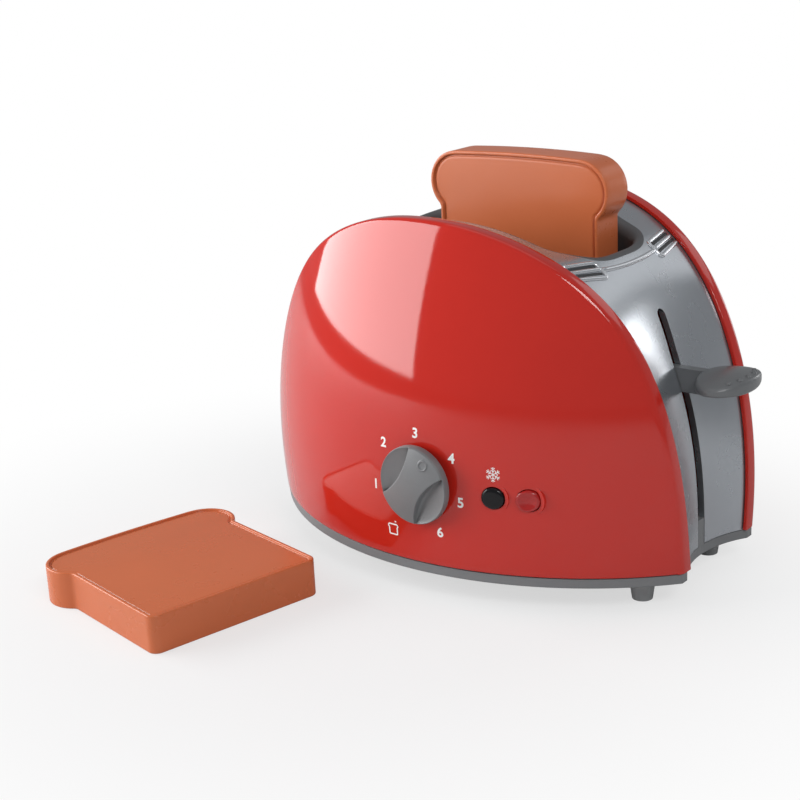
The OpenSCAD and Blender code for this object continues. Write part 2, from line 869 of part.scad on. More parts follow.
// one unbroken coil of wire from z = 0 up to h
module coil(r, wire, turns, h, steps = 12, sides = 6) {
    n = turns * steps;
    points = [
        for (i = [0:n], j = [0:sides - 1])
            let (a = 360 * i / steps, b = 360 * j / sides, q = r + wire * cos(b))
            [q * cos(a), q * sin(a), wire + (h - 2 * wire) * i / n + wire * sin(b)]
    ];
    walls = [
        for (i = [0:n - 1], j = [0:sides - 1])
            let (k = (j + 1) % sides, o = i * sides)
            [o + j, o + sides + j, o + sides + k, o + k]
    ];
    polyhedron(
        points = points,
        faces = concat(
            [for (q = walls, h = [0, 1]) h == 0 ? [q[2], q[1], q[0]] : [q[3], q[2], q[0]]],
            [for (j = [1:sides - 2]) [0, j + 1, j]],
            [for (j = [1:sides - 2]) [n * sides, n * sides + j, n * sides + j + 1]]
        )
    );
}

module return_spring(x) {
    color([0.8, 0.8, 0.82])
        placed()
            translate([x, 0, socket_z + 0.1])
                coil(spring_r, spring_wire, spring_n, deck_top - deck_t - socket_z - 0.2);
}

module left_spring() {
    return_spring(-rod_x);
}

module right_spring() {
    return_spring(rod_x);
}

tail_z = button_z;
tail_y = latch_y - 1.5;

// bell crank: the stop button pushes its tail, and its nose lets the carriage's tooth go
module latch() {
    nose_z = tooth_z - lever_travel + gap;
    color([0.85, 0.85, 0.83])
        placed()
            difference() {
                union() {
                    translate([latch_x - latch_w / 2, 0, 0])
                        rotate([90, 0, 90])
                            linear_extrude(latch_w)
                                polygon([
                                    [latch_y - 1.5, tail_z + 3],
                                    [latch_y - 1.5, nose_z + 1],
                                    [latch_y, nose_z],
                                    [-tooth_y - gap, nose_z],
                                    [-tooth_y - gap, nose_z + 1.4],
                                    [latch_y + 1.5, nose_z + 4.5],
                                    [latch_y + 1.5, tail_z + 3]
                                ]);
                    translate([latch_x - latch_w / 2, latch_y, latch_z])
                        rotate([0, 90, 0])
                            cylinder(h = latch_w, r = 2.8);
                    translate([latch_x - latch_w / 2, latch_y - 1.5, tail_z - 3])
                        cube([stop_x + 3 - latch_x + latch_w / 2, 3, 6]);
                }
                translate([latch_x - 10, latch_y, latch_z])
                    rotate([0, 90, 0])
                        cylinder(h = 20, r = pin_r + run);
            }
}

module latch_pin() {
    color([0.75, 0.76, 0.78])
        placed()
            translate([latch_x - latch_w / 2 - gap - ear_t, latch_y, latch_z])
                rotate([0, 90, 0])
                    cylinder(h = latch_w + 2 * gap + 2 * ear_t, r = pin_r);
}

flange_t = 2;

// cap whose face follows the panel, a stem through the guide tube, and a snap collar
module push_button(x, y, stem_end) {
    intersection() {
        translate([x, y + cap_l, button_z])
            rotate([90, 0, 0])
                cylinder(h = cap_l + 6, r = button_r);
        barrel(button_h);
    }
    translate([x, stem_end, button_z])
        rotate([90, 0, 0])
            cylinder(h = stem_end - y - 1, r = stem_r);
    translate([x, y + tube_in + gap + 1.2, button_z])
        rotate([90, 0, 0])
            cylinder(h = 1.2, r1 = stem_r + 0.1, r2 = stem_r + 0.6);
}

module stop_button() {
    color([0.7, 0.1, 0.1])
        placed()
            difference() {
                push_button(stop_x, stop_y, tail_y - gap);
                translate([stop_x, stop_y - button_h - 7.2, button_z])
                    sphere(r = 8);
            }
}

module defrost_button() {
    color([0.04, 0.04, 0.05])
        placed()
            push_button(defrost_x, defrost_y, defrost_y + tube_in + 4);
}

module button_spring(x, y) {
    color([0.8, 0.8, 0.82])
        placed()
            translate([x, y + tube_in - flange_t - 0.05, button_z])
                rotate([90, 0, 0])
                    coil(2.6, 0.3, 4, tube_in - flange_t - cap_l - 0.1, 10, 5);
}

module stop_spring() {
    button_spring(stop_x, stop_y);
}

module defrost_spring() {
    button_spring(defrost_x, defrost_y);
}

dial_back = wall_y(max(0, dial_x - dial_r), dial_z - body_z) + gap;
module dial() {
    shaft_end = dial_y + dial_in + gap + wheel_t + 1;
    color([0.5, 0.51, 0.52])
        placed()
            translate([dial_x, -dial_back, dial_z])
                rotate([90, 0, 0]) {
                    difference() {
                        intersection() {
                            cylinder(h = dial_h, r = dial_r);
                            translate([0, 0, dial_h - dial_dome])
                                sphere(r = dial_dome, $fn = 180);
                        }
                        for (s = [-1, 1])
                            rotate([0, 0, -grip_turn])
                                translate([s * (waist_w / 2 + scoop_r), 0, dial_flange])
                                    cylinder(h = dial_h, r = scoop_r);
                    }
                    rotate([0, 0, -grip_turn])
                        translate([0, mark_r, dial_h - 2])
                            difference() {
                                cylinder(h = 1.2, r = 2);
                                translate([0, 0, 0.9])
                                    cylinder(h = 1, r = 1.25);
                            }
                    translate([0, 0, -(shaft_end + dial_back)])
                        cylinder(h = shaft_end + dial_back + 0.5, r = shaft_r);
                }
}

module detent_wheel() {
    color([0.85, 0.85, 0.83])
        placed()
            translate([dial_x, dial_y + dial_in + gap + wheel_t, dial_z])
                rotate([90, 0, 0])
                    difference() {
                        cylinder(h = wheel_t, r = wheel_r);
                        translate([0, 0, -1])
                            cylinder(h = wheel_t + 2, r = shaft_r + seat);
                        for (i = [0:notch_n - 1])
                            rotate([0, 0, 90 + 360 * i / notch_n])
                                translate([wheel_r + 0.3, 0, -1])
                                    cylinder(h = wheel_t + 2, r = 1.1);
                    }
}

// leaf spring on the panel whose nose clicks into the detent wheel
module detent_leaf() {
    color([0.75, 0.76, 0.78])
        placed() {
            translate([dial_x - leaf_x, leaf_y, leaf_z])
                cube([leaf_x + 3, wheel_t + 1, leaf_t]);
            translate([dial_x, dial_y + dial_in + gap + wheel_t, leaf_z])
                rotate([90, 0, 0])
                    cylinder(h = wheel_t, r = nose_r);
        }
}

module slice() {
    difference() {
        linear_extrude(bread_t)
            polygon(bread_outline(0));
        for (z = [-1, bread_t - crust_d])
            translate([0, 0, z])
                linear_extrude(crust_d + 1)
                    polygon(bread_outline(crust_w));
    }
}

module toast_slice() {
    color([0.72, 0.36, 0.22])
        placed()
            translate([slice_x, slice_y + bread_t / 2, deck_z])
                rotate([90, 0, 0])
                    slice();
}

module spare_slice() {
    color([0.72, 0.36, 0.22])
        placed()
            translate([spare_x, spare_y, 0])
                rotate([0, 0, spare_turn])
                    slice();
}

front_panel();
rear_panel();
centre_band();
base_plate();
feet();
screws();
guide_rods();
carriage();
lever();
left_spring();
right_spring();
latch();
latch_pin();
stop_button();
stop_spring();
defrost_button();
defrost_spring();
dial();
detent_wheel();
detent_leaf();
toast_slice();
spare_slice();
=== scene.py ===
import math

import bmesh
import bpy
import numpy as np
from mathutils import Matrix, Vector


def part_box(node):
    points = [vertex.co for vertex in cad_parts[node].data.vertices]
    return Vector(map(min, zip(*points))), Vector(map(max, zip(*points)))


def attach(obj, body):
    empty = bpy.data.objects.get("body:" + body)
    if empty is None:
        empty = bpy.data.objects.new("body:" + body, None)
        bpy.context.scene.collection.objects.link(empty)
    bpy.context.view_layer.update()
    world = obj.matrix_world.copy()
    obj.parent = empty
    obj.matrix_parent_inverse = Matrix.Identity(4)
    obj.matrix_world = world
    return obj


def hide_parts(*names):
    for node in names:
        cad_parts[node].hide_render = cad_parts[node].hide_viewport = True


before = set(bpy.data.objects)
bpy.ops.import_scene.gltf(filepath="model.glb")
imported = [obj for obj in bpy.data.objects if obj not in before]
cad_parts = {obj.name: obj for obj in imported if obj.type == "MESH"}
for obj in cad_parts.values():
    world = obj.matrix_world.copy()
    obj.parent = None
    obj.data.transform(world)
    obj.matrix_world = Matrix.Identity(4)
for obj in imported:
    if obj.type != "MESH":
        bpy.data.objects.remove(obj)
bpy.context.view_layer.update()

# ---------------------------------------------------------------- sizes, in mm, toaster's own middle
lo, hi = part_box("base_plate")
SHIFT = np.array([(lo[0] + hi[0]) / 2, (lo[1] + hi[1]) / 2, 0.0]) * 1000
HALF_L, ARCH_H, MID_W, END_W = 90.0, 117.4, 64.9, 25.4
ARCH_PX, ARCH_PZ, SHOULDER = 2.147, 2.483, 0.014
SLOPE, BOW = 0.096, 0.00209
PANEL_T, RIM_D, RIM_T = 2.2, 5.3, 1.3
BAND_T, BAND_STEP, TUCK, DISH, CROWN, VALLEY = 2.2, 1.65, 2.2, 5.5, 0.6, 4.6
SLOT_A, SLOT_B, SLOT_P, ROLL, SKIRT_Z = 48.5, 24.5, 4.0, 4.0, 104.0
LEVER_SLOT_W, LEVER_SLOT_Z, LEVER_SLOT_X, LEVER_SLOT_LEN = 4.6, 96.7, 62, 40
BODY_Z = 13.3
# where the dish across the band fades out and the valley fades in, as shares of the arch's height
DISH_LOW, DISH_RUN, VALLEY_LOW, VALLEY_RUN = 0.55, 0.37, 0.885, 0.06
PAST_EDGE = 60.0  # a y that lies past the band's edge at every height
POST_R, SCREW_R, POST_H = 3.2, 1.35, 15
WALL_R0 = (HALF_L**2 + (MID_W - END_W) ** 2) / (2 * (MID_W - END_W))
AXIS_Y = WALL_R0 - MID_W


def wall_y(x, z):
    """How far the panel's outer face stands from the middle plane."""
    r = WALL_R0 + SLOPE * z - BOW * z * z
    return np.sqrt(r * r - x * x) - AXIS_Y


def arch(t):
    """The body's outline from the front, at t degrees from its top."""
    t = np.radians(t)
    k = 1 + SHOULDER * np.sin(2 * t) ** 4
    x = HALF_L * np.sign(t) * np.abs(np.sin(t)) ** (2 / ARCH_PX) * k
    z = ARCH_H * np.abs(np.cos(t)) ** (2 / ARCH_PZ) * k
    return x, z


def arch_at(t, d):
    """The arch's point at angle t, moved inwards by d along its normal."""
    t = np.asarray(t, float)
    x, z = arch(t)
    xa, za = arch(np.maximum(t - 0.05, -90))
    xb, zb = arch(np.minimum(t + 0.05, 90))
    n = np.hypot(xb - xa, zb - za)
    ux, uz = (xb - xa) / n, (zb - za) / n
    end = np.abs(t) > 89.6
    ux = np.where(end, 0, ux)
    uz = np.where(end, -np.sign(t), uz)
    return x + d * uz, np.maximum(0, z - d * ux)


def band_half(t):
    """Half the band's width between the two rims."""
    x, z = arch(t)
    return wall_y(np.minimum(np.abs(x), HALF_L), z) - RIM_D


def fade(v):
    """A smooth step from 0 to 1."""
    k = np.clip(v, 0, 1)
    return k * k * (3 - 2 * k)


def dish(z):
    """How deep the band's middle lies under its edges, at height z."""
    h = z / ARCH_H
    crowned = DISH - (DISH + CROWN) * fade((h - DISH_LOW) / DISH_RUN)
    return crowned + VALLEY * fade((h - VALLEY_LOW) / VALLEY_RUN)


def band_point(t, y):
    """x and z of the band's face at arch angle t and width y."""
    _, z = arch(t)
    w = np.minimum(1, np.abs(y) / band_half(t))
    return arch_at(t, BAND_STEP + dish(z) * (1 - w * w))


def band_solve(x, y):
    """The angle at which the band's face stands over (x, y), and its height."""
    a, b = np.zeros(np.shape(x)), np.full(np.shape(x), 89.5)
    for _ in range(40):
        m = (a + b) / 2
        low = band_point(m, y)[0] < np.abs(x)
        a, b = np.where(low, m, a), np.where(low, b, m)
    return a * np.where(np.asarray(x) < 0, -1, 1), band_point(a, y)[1]


# ---------------------------------------------------------------- meshes
def add_object(name, data):
    obj = bpy.data.objects.new(name, data)
    bpy.context.scene.collection.objects.link(obj)
    return obj


def make(name, verts, faces, material, body, node=None, sharp=40.0, merge=0.004):
    """A mesh from points in mm, riding on a body and, if a node is named, standing for it."""
    mesh = bpy.data.meshes.new(name)
    pts = (np.asarray(verts, float) + SHIFT) / 1000
    mesh.from_pydata(pts.tolist(), [], [list(f) for f in faces])
    bm = bmesh.new()
    bm.from_mesh(mesh)
    bmesh.ops.remove_doubles(bm, verts=bm.verts, dist=merge / 1000)
    bmesh.ops.dissolve_degenerate(bm, edges=bm.edges, dist=merge / 4000)
    bmesh.ops.recalc_face_normals(bm, faces=bm.faces)
    bm.to_mesh(mesh)
    bm.free()
    obj = add_object(name, mesh)
    finish_mesh(obj, sharp)
    mesh.materials.append(material)
    if body:
        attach(obj, body)
    if node:
        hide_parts(node)
    return obj


def finish_mesh(obj, sharp):
    mesh = obj.data
    mesh.polygons.foreach_set("use_smooth", [True] * len(mesh.polygons))
    if sharp:
        mesh.set_sharp_from_angle(angle=math.radians(sharp))
    mesh.update()


def loft(rows, closed=True, caps=(False, False)):
    """Faces between rows of points; each row is closed into a ring unless told otherwise."""
    n = len(rows[0])
    faces = []
    for i in range(len(rows) - 1):
        for j in range(n if closed else n - 1):
            k = (j + 1) % n
            faces.append((i * n + j, i * n + k, (i + 1) * n + k, (i + 1) * n + j))
    if caps[0]:
        faces.append(tuple(range(n)))
    if caps[1]:
        faces.append(tuple(range((len(rows) - 1) * n, len(rows) * n)))
    return np.concatenate([np.asarray(r, float) for r in rows]), faces


def join_parts(parts):
    verts, faces, n = [], [], 0
    for v, f in parts:
        verts.append(np.asarray(v, float))
        faces += [tuple(i + n for i in q) for q in f]
        n += len(v)
    return np.concatenate(verts), faces


def apply(obj, mod):
    with bpy.context.temp_override(object=obj, active_object=obj, selected_objects=[obj]):
        bpy.ops.object.modifier_apply(modifier=mod.name)


def cut(obj, cutters, sharp=40.0):
    for verts, faces in cutters:
        tool = make("cutter", verts, faces, plain, None)
        mod = obj.modifiers.new("cut", "BOOLEAN")
        mod.operation, mod.solver, mod.object = "DIFFERENCE", "EXACT", tool
        apply(obj, mod)
        bpy.data.objects.remove(tool)
    finish_mesh(obj, sharp)


def curve3(p0, p1, p2, n):
    """Points of a quadratic curve from p0 to p2, without its first one."""
    return [
        (1 - u) ** 2 * p0 + 2 * u * (1 - u) * p1 + u * u * p2
        for u in np.linspace(0, 1, n + 1)[1:]
    ]


def tube(centre, axis, r_out, r_in, length, n=48):
    """A pipe, or a rod if r_in is 0, from centre along axis."""
    axis = np.asarray(axis, float)
    side = np.cross(axis, [0.0, 0.0, 1.0] if abs(axis[2]) < 0.9 else [1.0, 0.0, 0.0])
    side /= np.linalg.norm(side)
    up = np.cross(axis, side)
    a = np.linspace(0, 2 * np.pi, n, endpoint=False)[:, None]
    ring = np.cos(a) * side + np.sin(a) * up
    c = np.asarray(centre, float)
    rows = [c + ring * r_out, c + ring * r_out + axis * length]
    if not r_in:
        return loft(rows, caps=(True, True))
    rows += [c + ring * r_in + axis * length, c + ring * r_in, c + ring * r_out]
    return loft(rows)


def box_part(x0, x1, y0, y1, z0, z1):
    v = [(x, y, z) for x in (x0, x1) for y in (y0, y1) for z in (z0, z1)]
    return v, [(0, 1, 3, 2), (4, 6, 7, 5), (0, 4, 5, 1), (2, 3, 7, 6), (0, 2, 6, 4), (1, 5, 7, 3)]


# ---------------------------------------------------------------- materials
def material(name, color, rough, grain=60, spread=0.06, bump=0.05, bump_size=900, edge=0.0003, **inputs):
    """A moulded surface. grain and bump_size are noise scales, edge is a bevel's radius in metres."""
    m = bpy.data.materials.new(name)
    m.use_nodes = True
    nodes, links = m.node_tree.nodes, m.node_tree.links
    bsdf = nodes["Principled BSDF"]
    bsdf.inputs["Base Color"].default_value = (*color, 1)
    bsdf.inputs["Roughness"].default_value = rough
    for key, value in inputs.items():
        bsdf.inputs[key.replace("_", " ")].default_value = value
    coord = nodes.new("ShaderNodeTexCoord")
    # colour and gloss vary a little, as on a moulding that has been handled
    noise = nodes.new("ShaderNodeTexNoise")
    noise.inputs["Scale"].default_value = grain
    noise.inputs["Detail"].default_value = 6
    links.new(coord.outputs["Object"], noise.inputs["Vector"])
    ramp = nodes.new("ShaderNodeMapRange")
    ramp.inputs["To Min"].default_value = max(0.0, rough - spread)
    ramp.inputs["To Max"].default_value = rough + spread
    links.new(noise.outputs["Fac"], ramp.inputs["Value"])
    links.new(ramp.outputs["Result"], bsdf.inputs["Roughness"])
    mix = nodes.new("ShaderNodeMix")
    mix.data_type = "RGBA"
    mix.inputs["A"].default_value = (*[c * 0.94 for c in color], 1)
    mix.inputs["B"].default_value = (*[min(1, c * 1.05) for c in color], 1)
    links.new(noise.outputs["Fac"], mix.inputs["Factor"])
    links.new(mix.outputs["Result"], bsdf.inputs["Base Color"])
    fine = nodes.new("ShaderNodeTexNoise")
    fine.inputs["Scale"].default_value = bump_size
    fine.inputs["Detail"].default_value = 3
    links.new(coord.outputs["Object"], fine.inputs["Vector"])
    relief = nodes.new("ShaderNodeBump")
    relief.inputs["Strength"].default_value = bump
    relief.inputs["Distance"].default_value = 0.0003
    links.new(fine.outputs["Fac"], relief.inputs["Height"])
    if edge:
        bevel = nodes.new("ShaderNodeBevel")
        bevel.inputs["Radius"].default_value = edge
        bevel.samples = 4
        links.new(bevel.outputs["Normal"], relief.inputs["Normal"])
    links.new(relief.outputs["Normal"], bsdf.inputs["Normal"])
    return m


plain = bpy.data.materials.new("plain")
red = material(
    "red_shell", (0.5, 0.019, 0.011), 0.06,
    Specular_IOR_Level=0.52, grain=25, spread=0.015, bump=0.015, edge=0,
)
silver = material("silver_band", (0.46, 0.485, 0.515), 0.27, Metallic=0.85, grain=40, bump=0.008, edge=0)
# the ribs' silver is a brighter copy of the band's, a painted highlight along the ribs
rib_highlight = material("silver_rib_highlight", (0.66, 0.68, 0.71), 0.24, Metallic=0.85, grain=40, bump=0.01, edge=0)
# near-black for the strips between the ribs: painted shade in the grooves
painted_groove_shade = material("painted_groove_shade", (0.038, 0.039, 0.042), 0.5, Metallic=0.3, grain=40, bump=0.06, edge=0)
# darker grey for the slot's roll and skirt: painted shade where the band turns down into the slot
roll_painted_shade = material("roll_painted_shade", (0.1, 0.102, 0.106), 0.45, Metallic=0.3, grain=40, bump=0.03, edge=0)
base_grey = material("grey_base", (0.17, 0.175, 0.18), 0.42, bump=0.15, edge=0.0004)
foot_grey = material("foot_grey", (0.34, 0.345, 0.35), 0.5, bump=0.2, edge=0.0004)
lever_grey = material("lever_grey", (0.13, 0.135, 0.14), 0.3, bump=0.08, edge=0.0004)
dial_grey = material("dial_grey", (0.16, 0.165, 0.17), 0.4, bump=0.15, edge=0.0003)
steel = material("steel", (0.55, 0.56, 0.57), 0.3, Metallic=1.0, edge=0.0002)
wire = material("spring_steel", (0.6, 0.6, 0.62), 0.25, Metallic=1.0, edge=0)
acetal = material("latch_white", (0.7, 0.7, 0.66), 0.45, edge=0.0003)
black = material("carriage_black", (0.02, 0.02, 0.022), 0.45, edge=0.0003)
red_cap = material("button_red", (0.36, 0.01, 0.009), 0.15, Specular_IOR_Level=0.6, bump=0.02, edge=0)
black_cap = material("button_black", (0.005, 0.005, 0.006), 0.16, Specular_IOR_Level=0.3, bump=0.02, edge=0)
toast = material(
    "toast_brown", (0.56, 0.14, 0.05), 0.28,
    Specular_IOR_Level=0.4, grain=35, spread=0.04, bump=0.04, bump_size=420, edge=0,
)
print_white = material("print_white", (0.85, 0.85, 0.83), 0.4, bump=0.02, edge=0)

for names, m in (
    (("base_plate",), base_grey),
    (("feet",), foot_grey),
    (("screws", "guide_rods", "latch_pin"), steel),
    (("left_spring", "right_spring", "stop_spring", "defrost_spring", "detent_leaf"), wire),
    (("latch", "detent_wheel"), acetal),
    (("carriage",), black),
    (("lever",), lever_grey),
    (("dial",), dial_grey),
    (("stop_button",), red_cap),
    (("defrost_button",), black_cap),
    (("toast_slice", "spare_slice"), toast),
):
    for n in names:
        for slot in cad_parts[n].material_slots:
            slot.material = m


# ---------------------------------------------------------------- panels
def panel_mesh():
    """The front panel: wall, rounded rim, flange towards the band, and inner faces."""
    nt, nv = ((240, 44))
    s = np.linspace(-1, 1, nt + 1)
    t = 90 * np.sign(s) * (1 - (1 - np.abs(s)) ** 1.5)
    edge_r, foot_r, lip_r = 1.3, 0.5, 0.35
    x0, z0 = arch_at(t, 0.0)
    y0 = wall_y(np.minimum(np.abs(x0), HALF_L), z0)
    rows = []

    def add(x, y, z):
        rows.append(np.stack([x, y, z], 1))

    def at(d):
        return arch_at(t, d)

    xd, zd = at(edge_r)
    # foot edge, slightly rounded
    add(xd, -wall_y(xd, 0) + foot_r, np.zeros_like(xd))
    for k in (0.3, 0.7, 1.0):
        zz = np.minimum(zd, foot_r * k)
        add(xd, -wall_y(xd, zz) + foot_r * (1 - k) ** 2, zz)
    for v in np.linspace(0, 1, nv + 1)[1:]:
        zz = np.minimum(zd, foot_r) + np.maximum(0, zd - foot_r) * v
        add(xd, -wall_y(xd, zz), zz)
    p0 = rows[-1]
    p1 = np.stack([x0, -y0, z0], 1)
    p2 = np.stack([x0, -y0 + edge_r, z0], 1)
    rows.extend(curve3(p0, p1, p2, 7))
    p3 = np.stack([x0, -y0 + RIM_D - lip_r, z0], 1)
    rows.append(p3)
    x4, z4 = at(lip_r)
    p4 = np.stack([x4, -y0 + RIM_D, z4], 1)
    rows.extend(curve3(p3, np.stack([x0, -y0 + RIM_D, z0], 1), p4, 3))
    x5, z5 = at(RIM_T)
    add(x5, -y0 + RIM_D, z5)
    add(x5, -wall_y(x5, z5) + PANEL_T, z5)
    for v in np.linspace(1, 0, 9)[1:]:
        add(x5, -wall_y(x5, z5 * v) + PANEL_T, z5 * v)
    rows.append(rows[0])
    n = len(t)
    verts = np.concatenate(rows)
    faces = [
        (i * n + j, i * n + j + 1, (i + 1) * n + j + 1, (i + 1) * n + j)
        for i in range(len(rows) - 1)
        for j in range(n - 1)
    ]
    for j in (0, n - 1):
        faces.append(tuple(i * n + j for i in range(len(rows) - 1)))
    verts[:, 2] += BODY_Z
    return verts, faces


def mirrored(part, axis):
    v, f = part
    v = v.copy()
    v[:, axis] *= -1
    return v, f


DIAL = (9.8, 43.4)
DEFROST_X, STOP_X, BUTTON_Z, BUTTON_R, BUTTON_GAP = 37.3, 48.8, 41.5, 3.75, 0.3
SHAFT_R, SHAFT_BORE, SHAFT_LEN = 3.0, 3.08, 14
SLEEVE_ROOT = 1.2  # how far behind the wall's outer face a guide starts, which is inside the wall


def front_y(x, z):
    return -float(wall_y(x, z - BODY_Z))


def wall_bore(x, z, r, before, length, n=48):
    """A rod through the front wall at (x, z), starting in front of it."""
    return tube((x, front_y(x, z) - before, z), (0, 1, 0), r, 0, length, n)


shell = panel_mesh()
front = make("front_shell", *shell, red, "body", "front_panel")
make("rear_shell", *mirrored(shell, 1), red, "body", "rear_panel")
cut(
    front,
    [
        wall_bore(*DIAL, SHAFT_BORE, 6, 14),
        wall_bore(DEFROST_X, BUTTON_Z, BUTTON_R + BUTTON_GAP, 8, 18, 72),
        wall_bore(STOP_X, BUTTON_Z, BUTTON_R + BUTTON_GAP, 8, 18, 72),
    ],
)


def screw_post(x, y):
    return tube((x, y, BODY_Z), (0, 0, 1), POST_R, SCREW_R, POST_H)


def sleeve(x, z, r_out, r_in, length):
    """A guide that stands on the back of the front wall."""
    return tube((x, front_y(x, z) + SLEEVE_ROOT, z), (0, 1, 0), r_out, r_in, length)


PANEL_POST_X, PANEL_POST_Y = 60, 40
guides = [sleeve(x, BUTTON_Z, BUTTON_R + 1.6, BUTTON_R + BUTTON_GAP, 10.8) for x in (DEFROST_X, STOP_X)]
guides.append(sleeve(*DIAL, 5.4, SHAFT_BORE, 8.8))
front_posts = [screw_post(s * PANEL_POST_X, -PANEL_POST_Y) for s in (-1, 1)]
rear_posts = [screw_post(s * PANEL_POST_X, PANEL_POST_Y) for s in (-1, 1)]
make("front_fixings", *join_parts(front_posts + guides), red, "body")
make("rear_fixings", *join_parts(rear_posts), red, "body")


# ---------------------------------------------------------------- centre band
def slot_ring(n, grow):
    """n points of the toast slot's outline, evenly spaced and moved outwards by grow."""
    a = np.linspace(0, 2 * np.pi, 8001)
    c, s = np.cos(a), np.sin(a)
    power = 2 / SLOT_P
    p = np.stack([SLOT_A * np.sign(c) * np.abs(c) ** power, SLOT_B * np.sign(s) * np.abs(s) ** power], 1)
    step = np.concatenate([[0], np.cumsum(np.linalg.norm(np.diff(p, axis=0), axis=1))])
    want = np.linspace(0, step[-1], n, endpoint=False)
    q = np.stack([np.interp(want, step, p[:, k]) for k in (0, 1)], 1)
    tan = np.roll(q, -1, 0) - np.roll(q, 1, 0)
    nrm = np.stack([tan[:, 1], -tan[:, 0]], 1)
    nrm /= np.linalg.norm(nrm, axis=1)[:, None]
    return q + nrm * grow


SEAM_X = 60.0  # where the patch round the toast slot meets the two ends


def band_mesh():
    """The band's outer face: the slot's skirt and roll, the patch round the slot, and the two ends."""
    quarter = 72
    n = 4 * quarter
    base = slot_ring(n, 0.0)
    wide = slot_ring(n, ROLL)
    # the ring's four corners go to the four corners of the top patch
    corner = int(np.argmin(np.abs(base[: n // 4, 0] / SLOT_A - base[: n // 4, 1] / SLOT_B)))
    t_edge = band_solve(np.array([SEAM_X]), np.array([PAST_EDGE]))[0][0]
    seam_h = float(band_half(t_edge) + TUCK)

    def edge_y(x):
        t = band_solve(x, np.full(np.shape(x), PAST_EDGE))[0]
        return band_half(np.abs(t)) + TUCK

    border = np.zeros((n, 2))
    short = 2 * corner
    long = n // 2 - short
    for k in range(n):
        j = (k + corner) % n
        if j < short:
            border[k] = (SEAM_X, seam_h * (2 * j / short - 1))
        elif j < short + long:
            border[k] = (SEAM_X * (1 - 2 * (j - short) / long), 1)
        elif j < 2 * short + long:
            border[k] = (-SEAM_X, seam_h * (1 - 2 * (j - short - long) / short))
        else:
            border[k] = (SEAM_X * (2 * (j - 2 * short - long) / long - 1), -1)
    flat = np.abs(border[:, 1]) == 1
    border[flat, 1] *= edge_y(border[flat, 0])

    def lifted(p, drop=0.0):
        z = band_solve(p[:, 0], p[:, 1])[1]
        return np.stack([p[:, 0], p[:, 1], z - drop], 1)

    rows = []
    top0 = lifted(base, ROLL)
    low = top0.copy()
    low[:, 2] = SKIRT_Z - BODY_Z
    for u in np.linspace(0, 1, 5)[:-1]:
        rows.append(low + (top0 - low) * u)
    for a in np.linspace(0, 90, 15):
        d = ROLL * (1 - math.cos(math.radians(a)))
        rows.append(lifted(slot_ring(n, d), ROLL * (1 - math.sin(math.radians(a)))))
    steps = 16
    for u in np.linspace(0, 1, steps + 1)[1:]:
        rows.append(lifted(wide + (border - wide) * u))
    top = loft(rows)
    # the two ends, from the seam down to the foot
    parts = [top]
    fr = np.linspace(-1, 1, short + 1)
    t0 = band_solve(np.full(fr.shape, SEAM_X), fr * seam_h)[0]
    m = 84
    ends = []
    for g in 1 - (1 - np.linspace(0, 1, m)) ** 1.4:
        t = t0 + (90 - t0) * g
        te = t_edge + (90 - t_edge) * g
        y = fr * (band_half(te) + TUCK)
        x, z = band_point(t, y)
        ends.append(np.stack([x, y, z], 1))
    end = loft(ends, closed=False)
    parts += [end, mirrored(end, 0)]
    v, f = join_parts(parts)
    v[:, 2] += BODY_Z
    return v, f


bv, bf = band_mesh()
band = make("band_skin", bv, bf, silver, "body", "centre_band", sharp=0, merge=0.02)
solid = band.modifiers.new("solid", "SOLIDIFY")
solid.thickness, solid.offset = BAND_T / 1000, -1
apply(band, solid)
w = LEVER_SLOT_W / 2
cut(
    band,
    [
        tube((LEVER_SLOT_X, 0, LEVER_SLOT_Z - w), (1, 0, 0), w, 0, LEVER_SLOT_LEN),
        box_part(LEVER_SLOT_X, LEVER_SLOT_X + LEVER_SLOT_LEN, -w, w, 0, LEVER_SLOT_Z - w),
    ],
)


def slot_dist(x, y):
    """Distance from the toast slot's outline, near it."""
    def f(u, v):
        return ((np.abs(u) / SLOT_A) ** SLOT_P + (np.abs(v) / SLOT_B) ** SLOT_P) ** (1 / SLOT_P)

    e = 0.5
    k = f(x, y)
    return (k - 1) * e / np.maximum(0.002, np.hypot(f(np.abs(x) + e, y) - k, f(x, np.abs(y) + e) - k))


DRESS_X = 78  # past this the face is too steep for a height over (x, y)


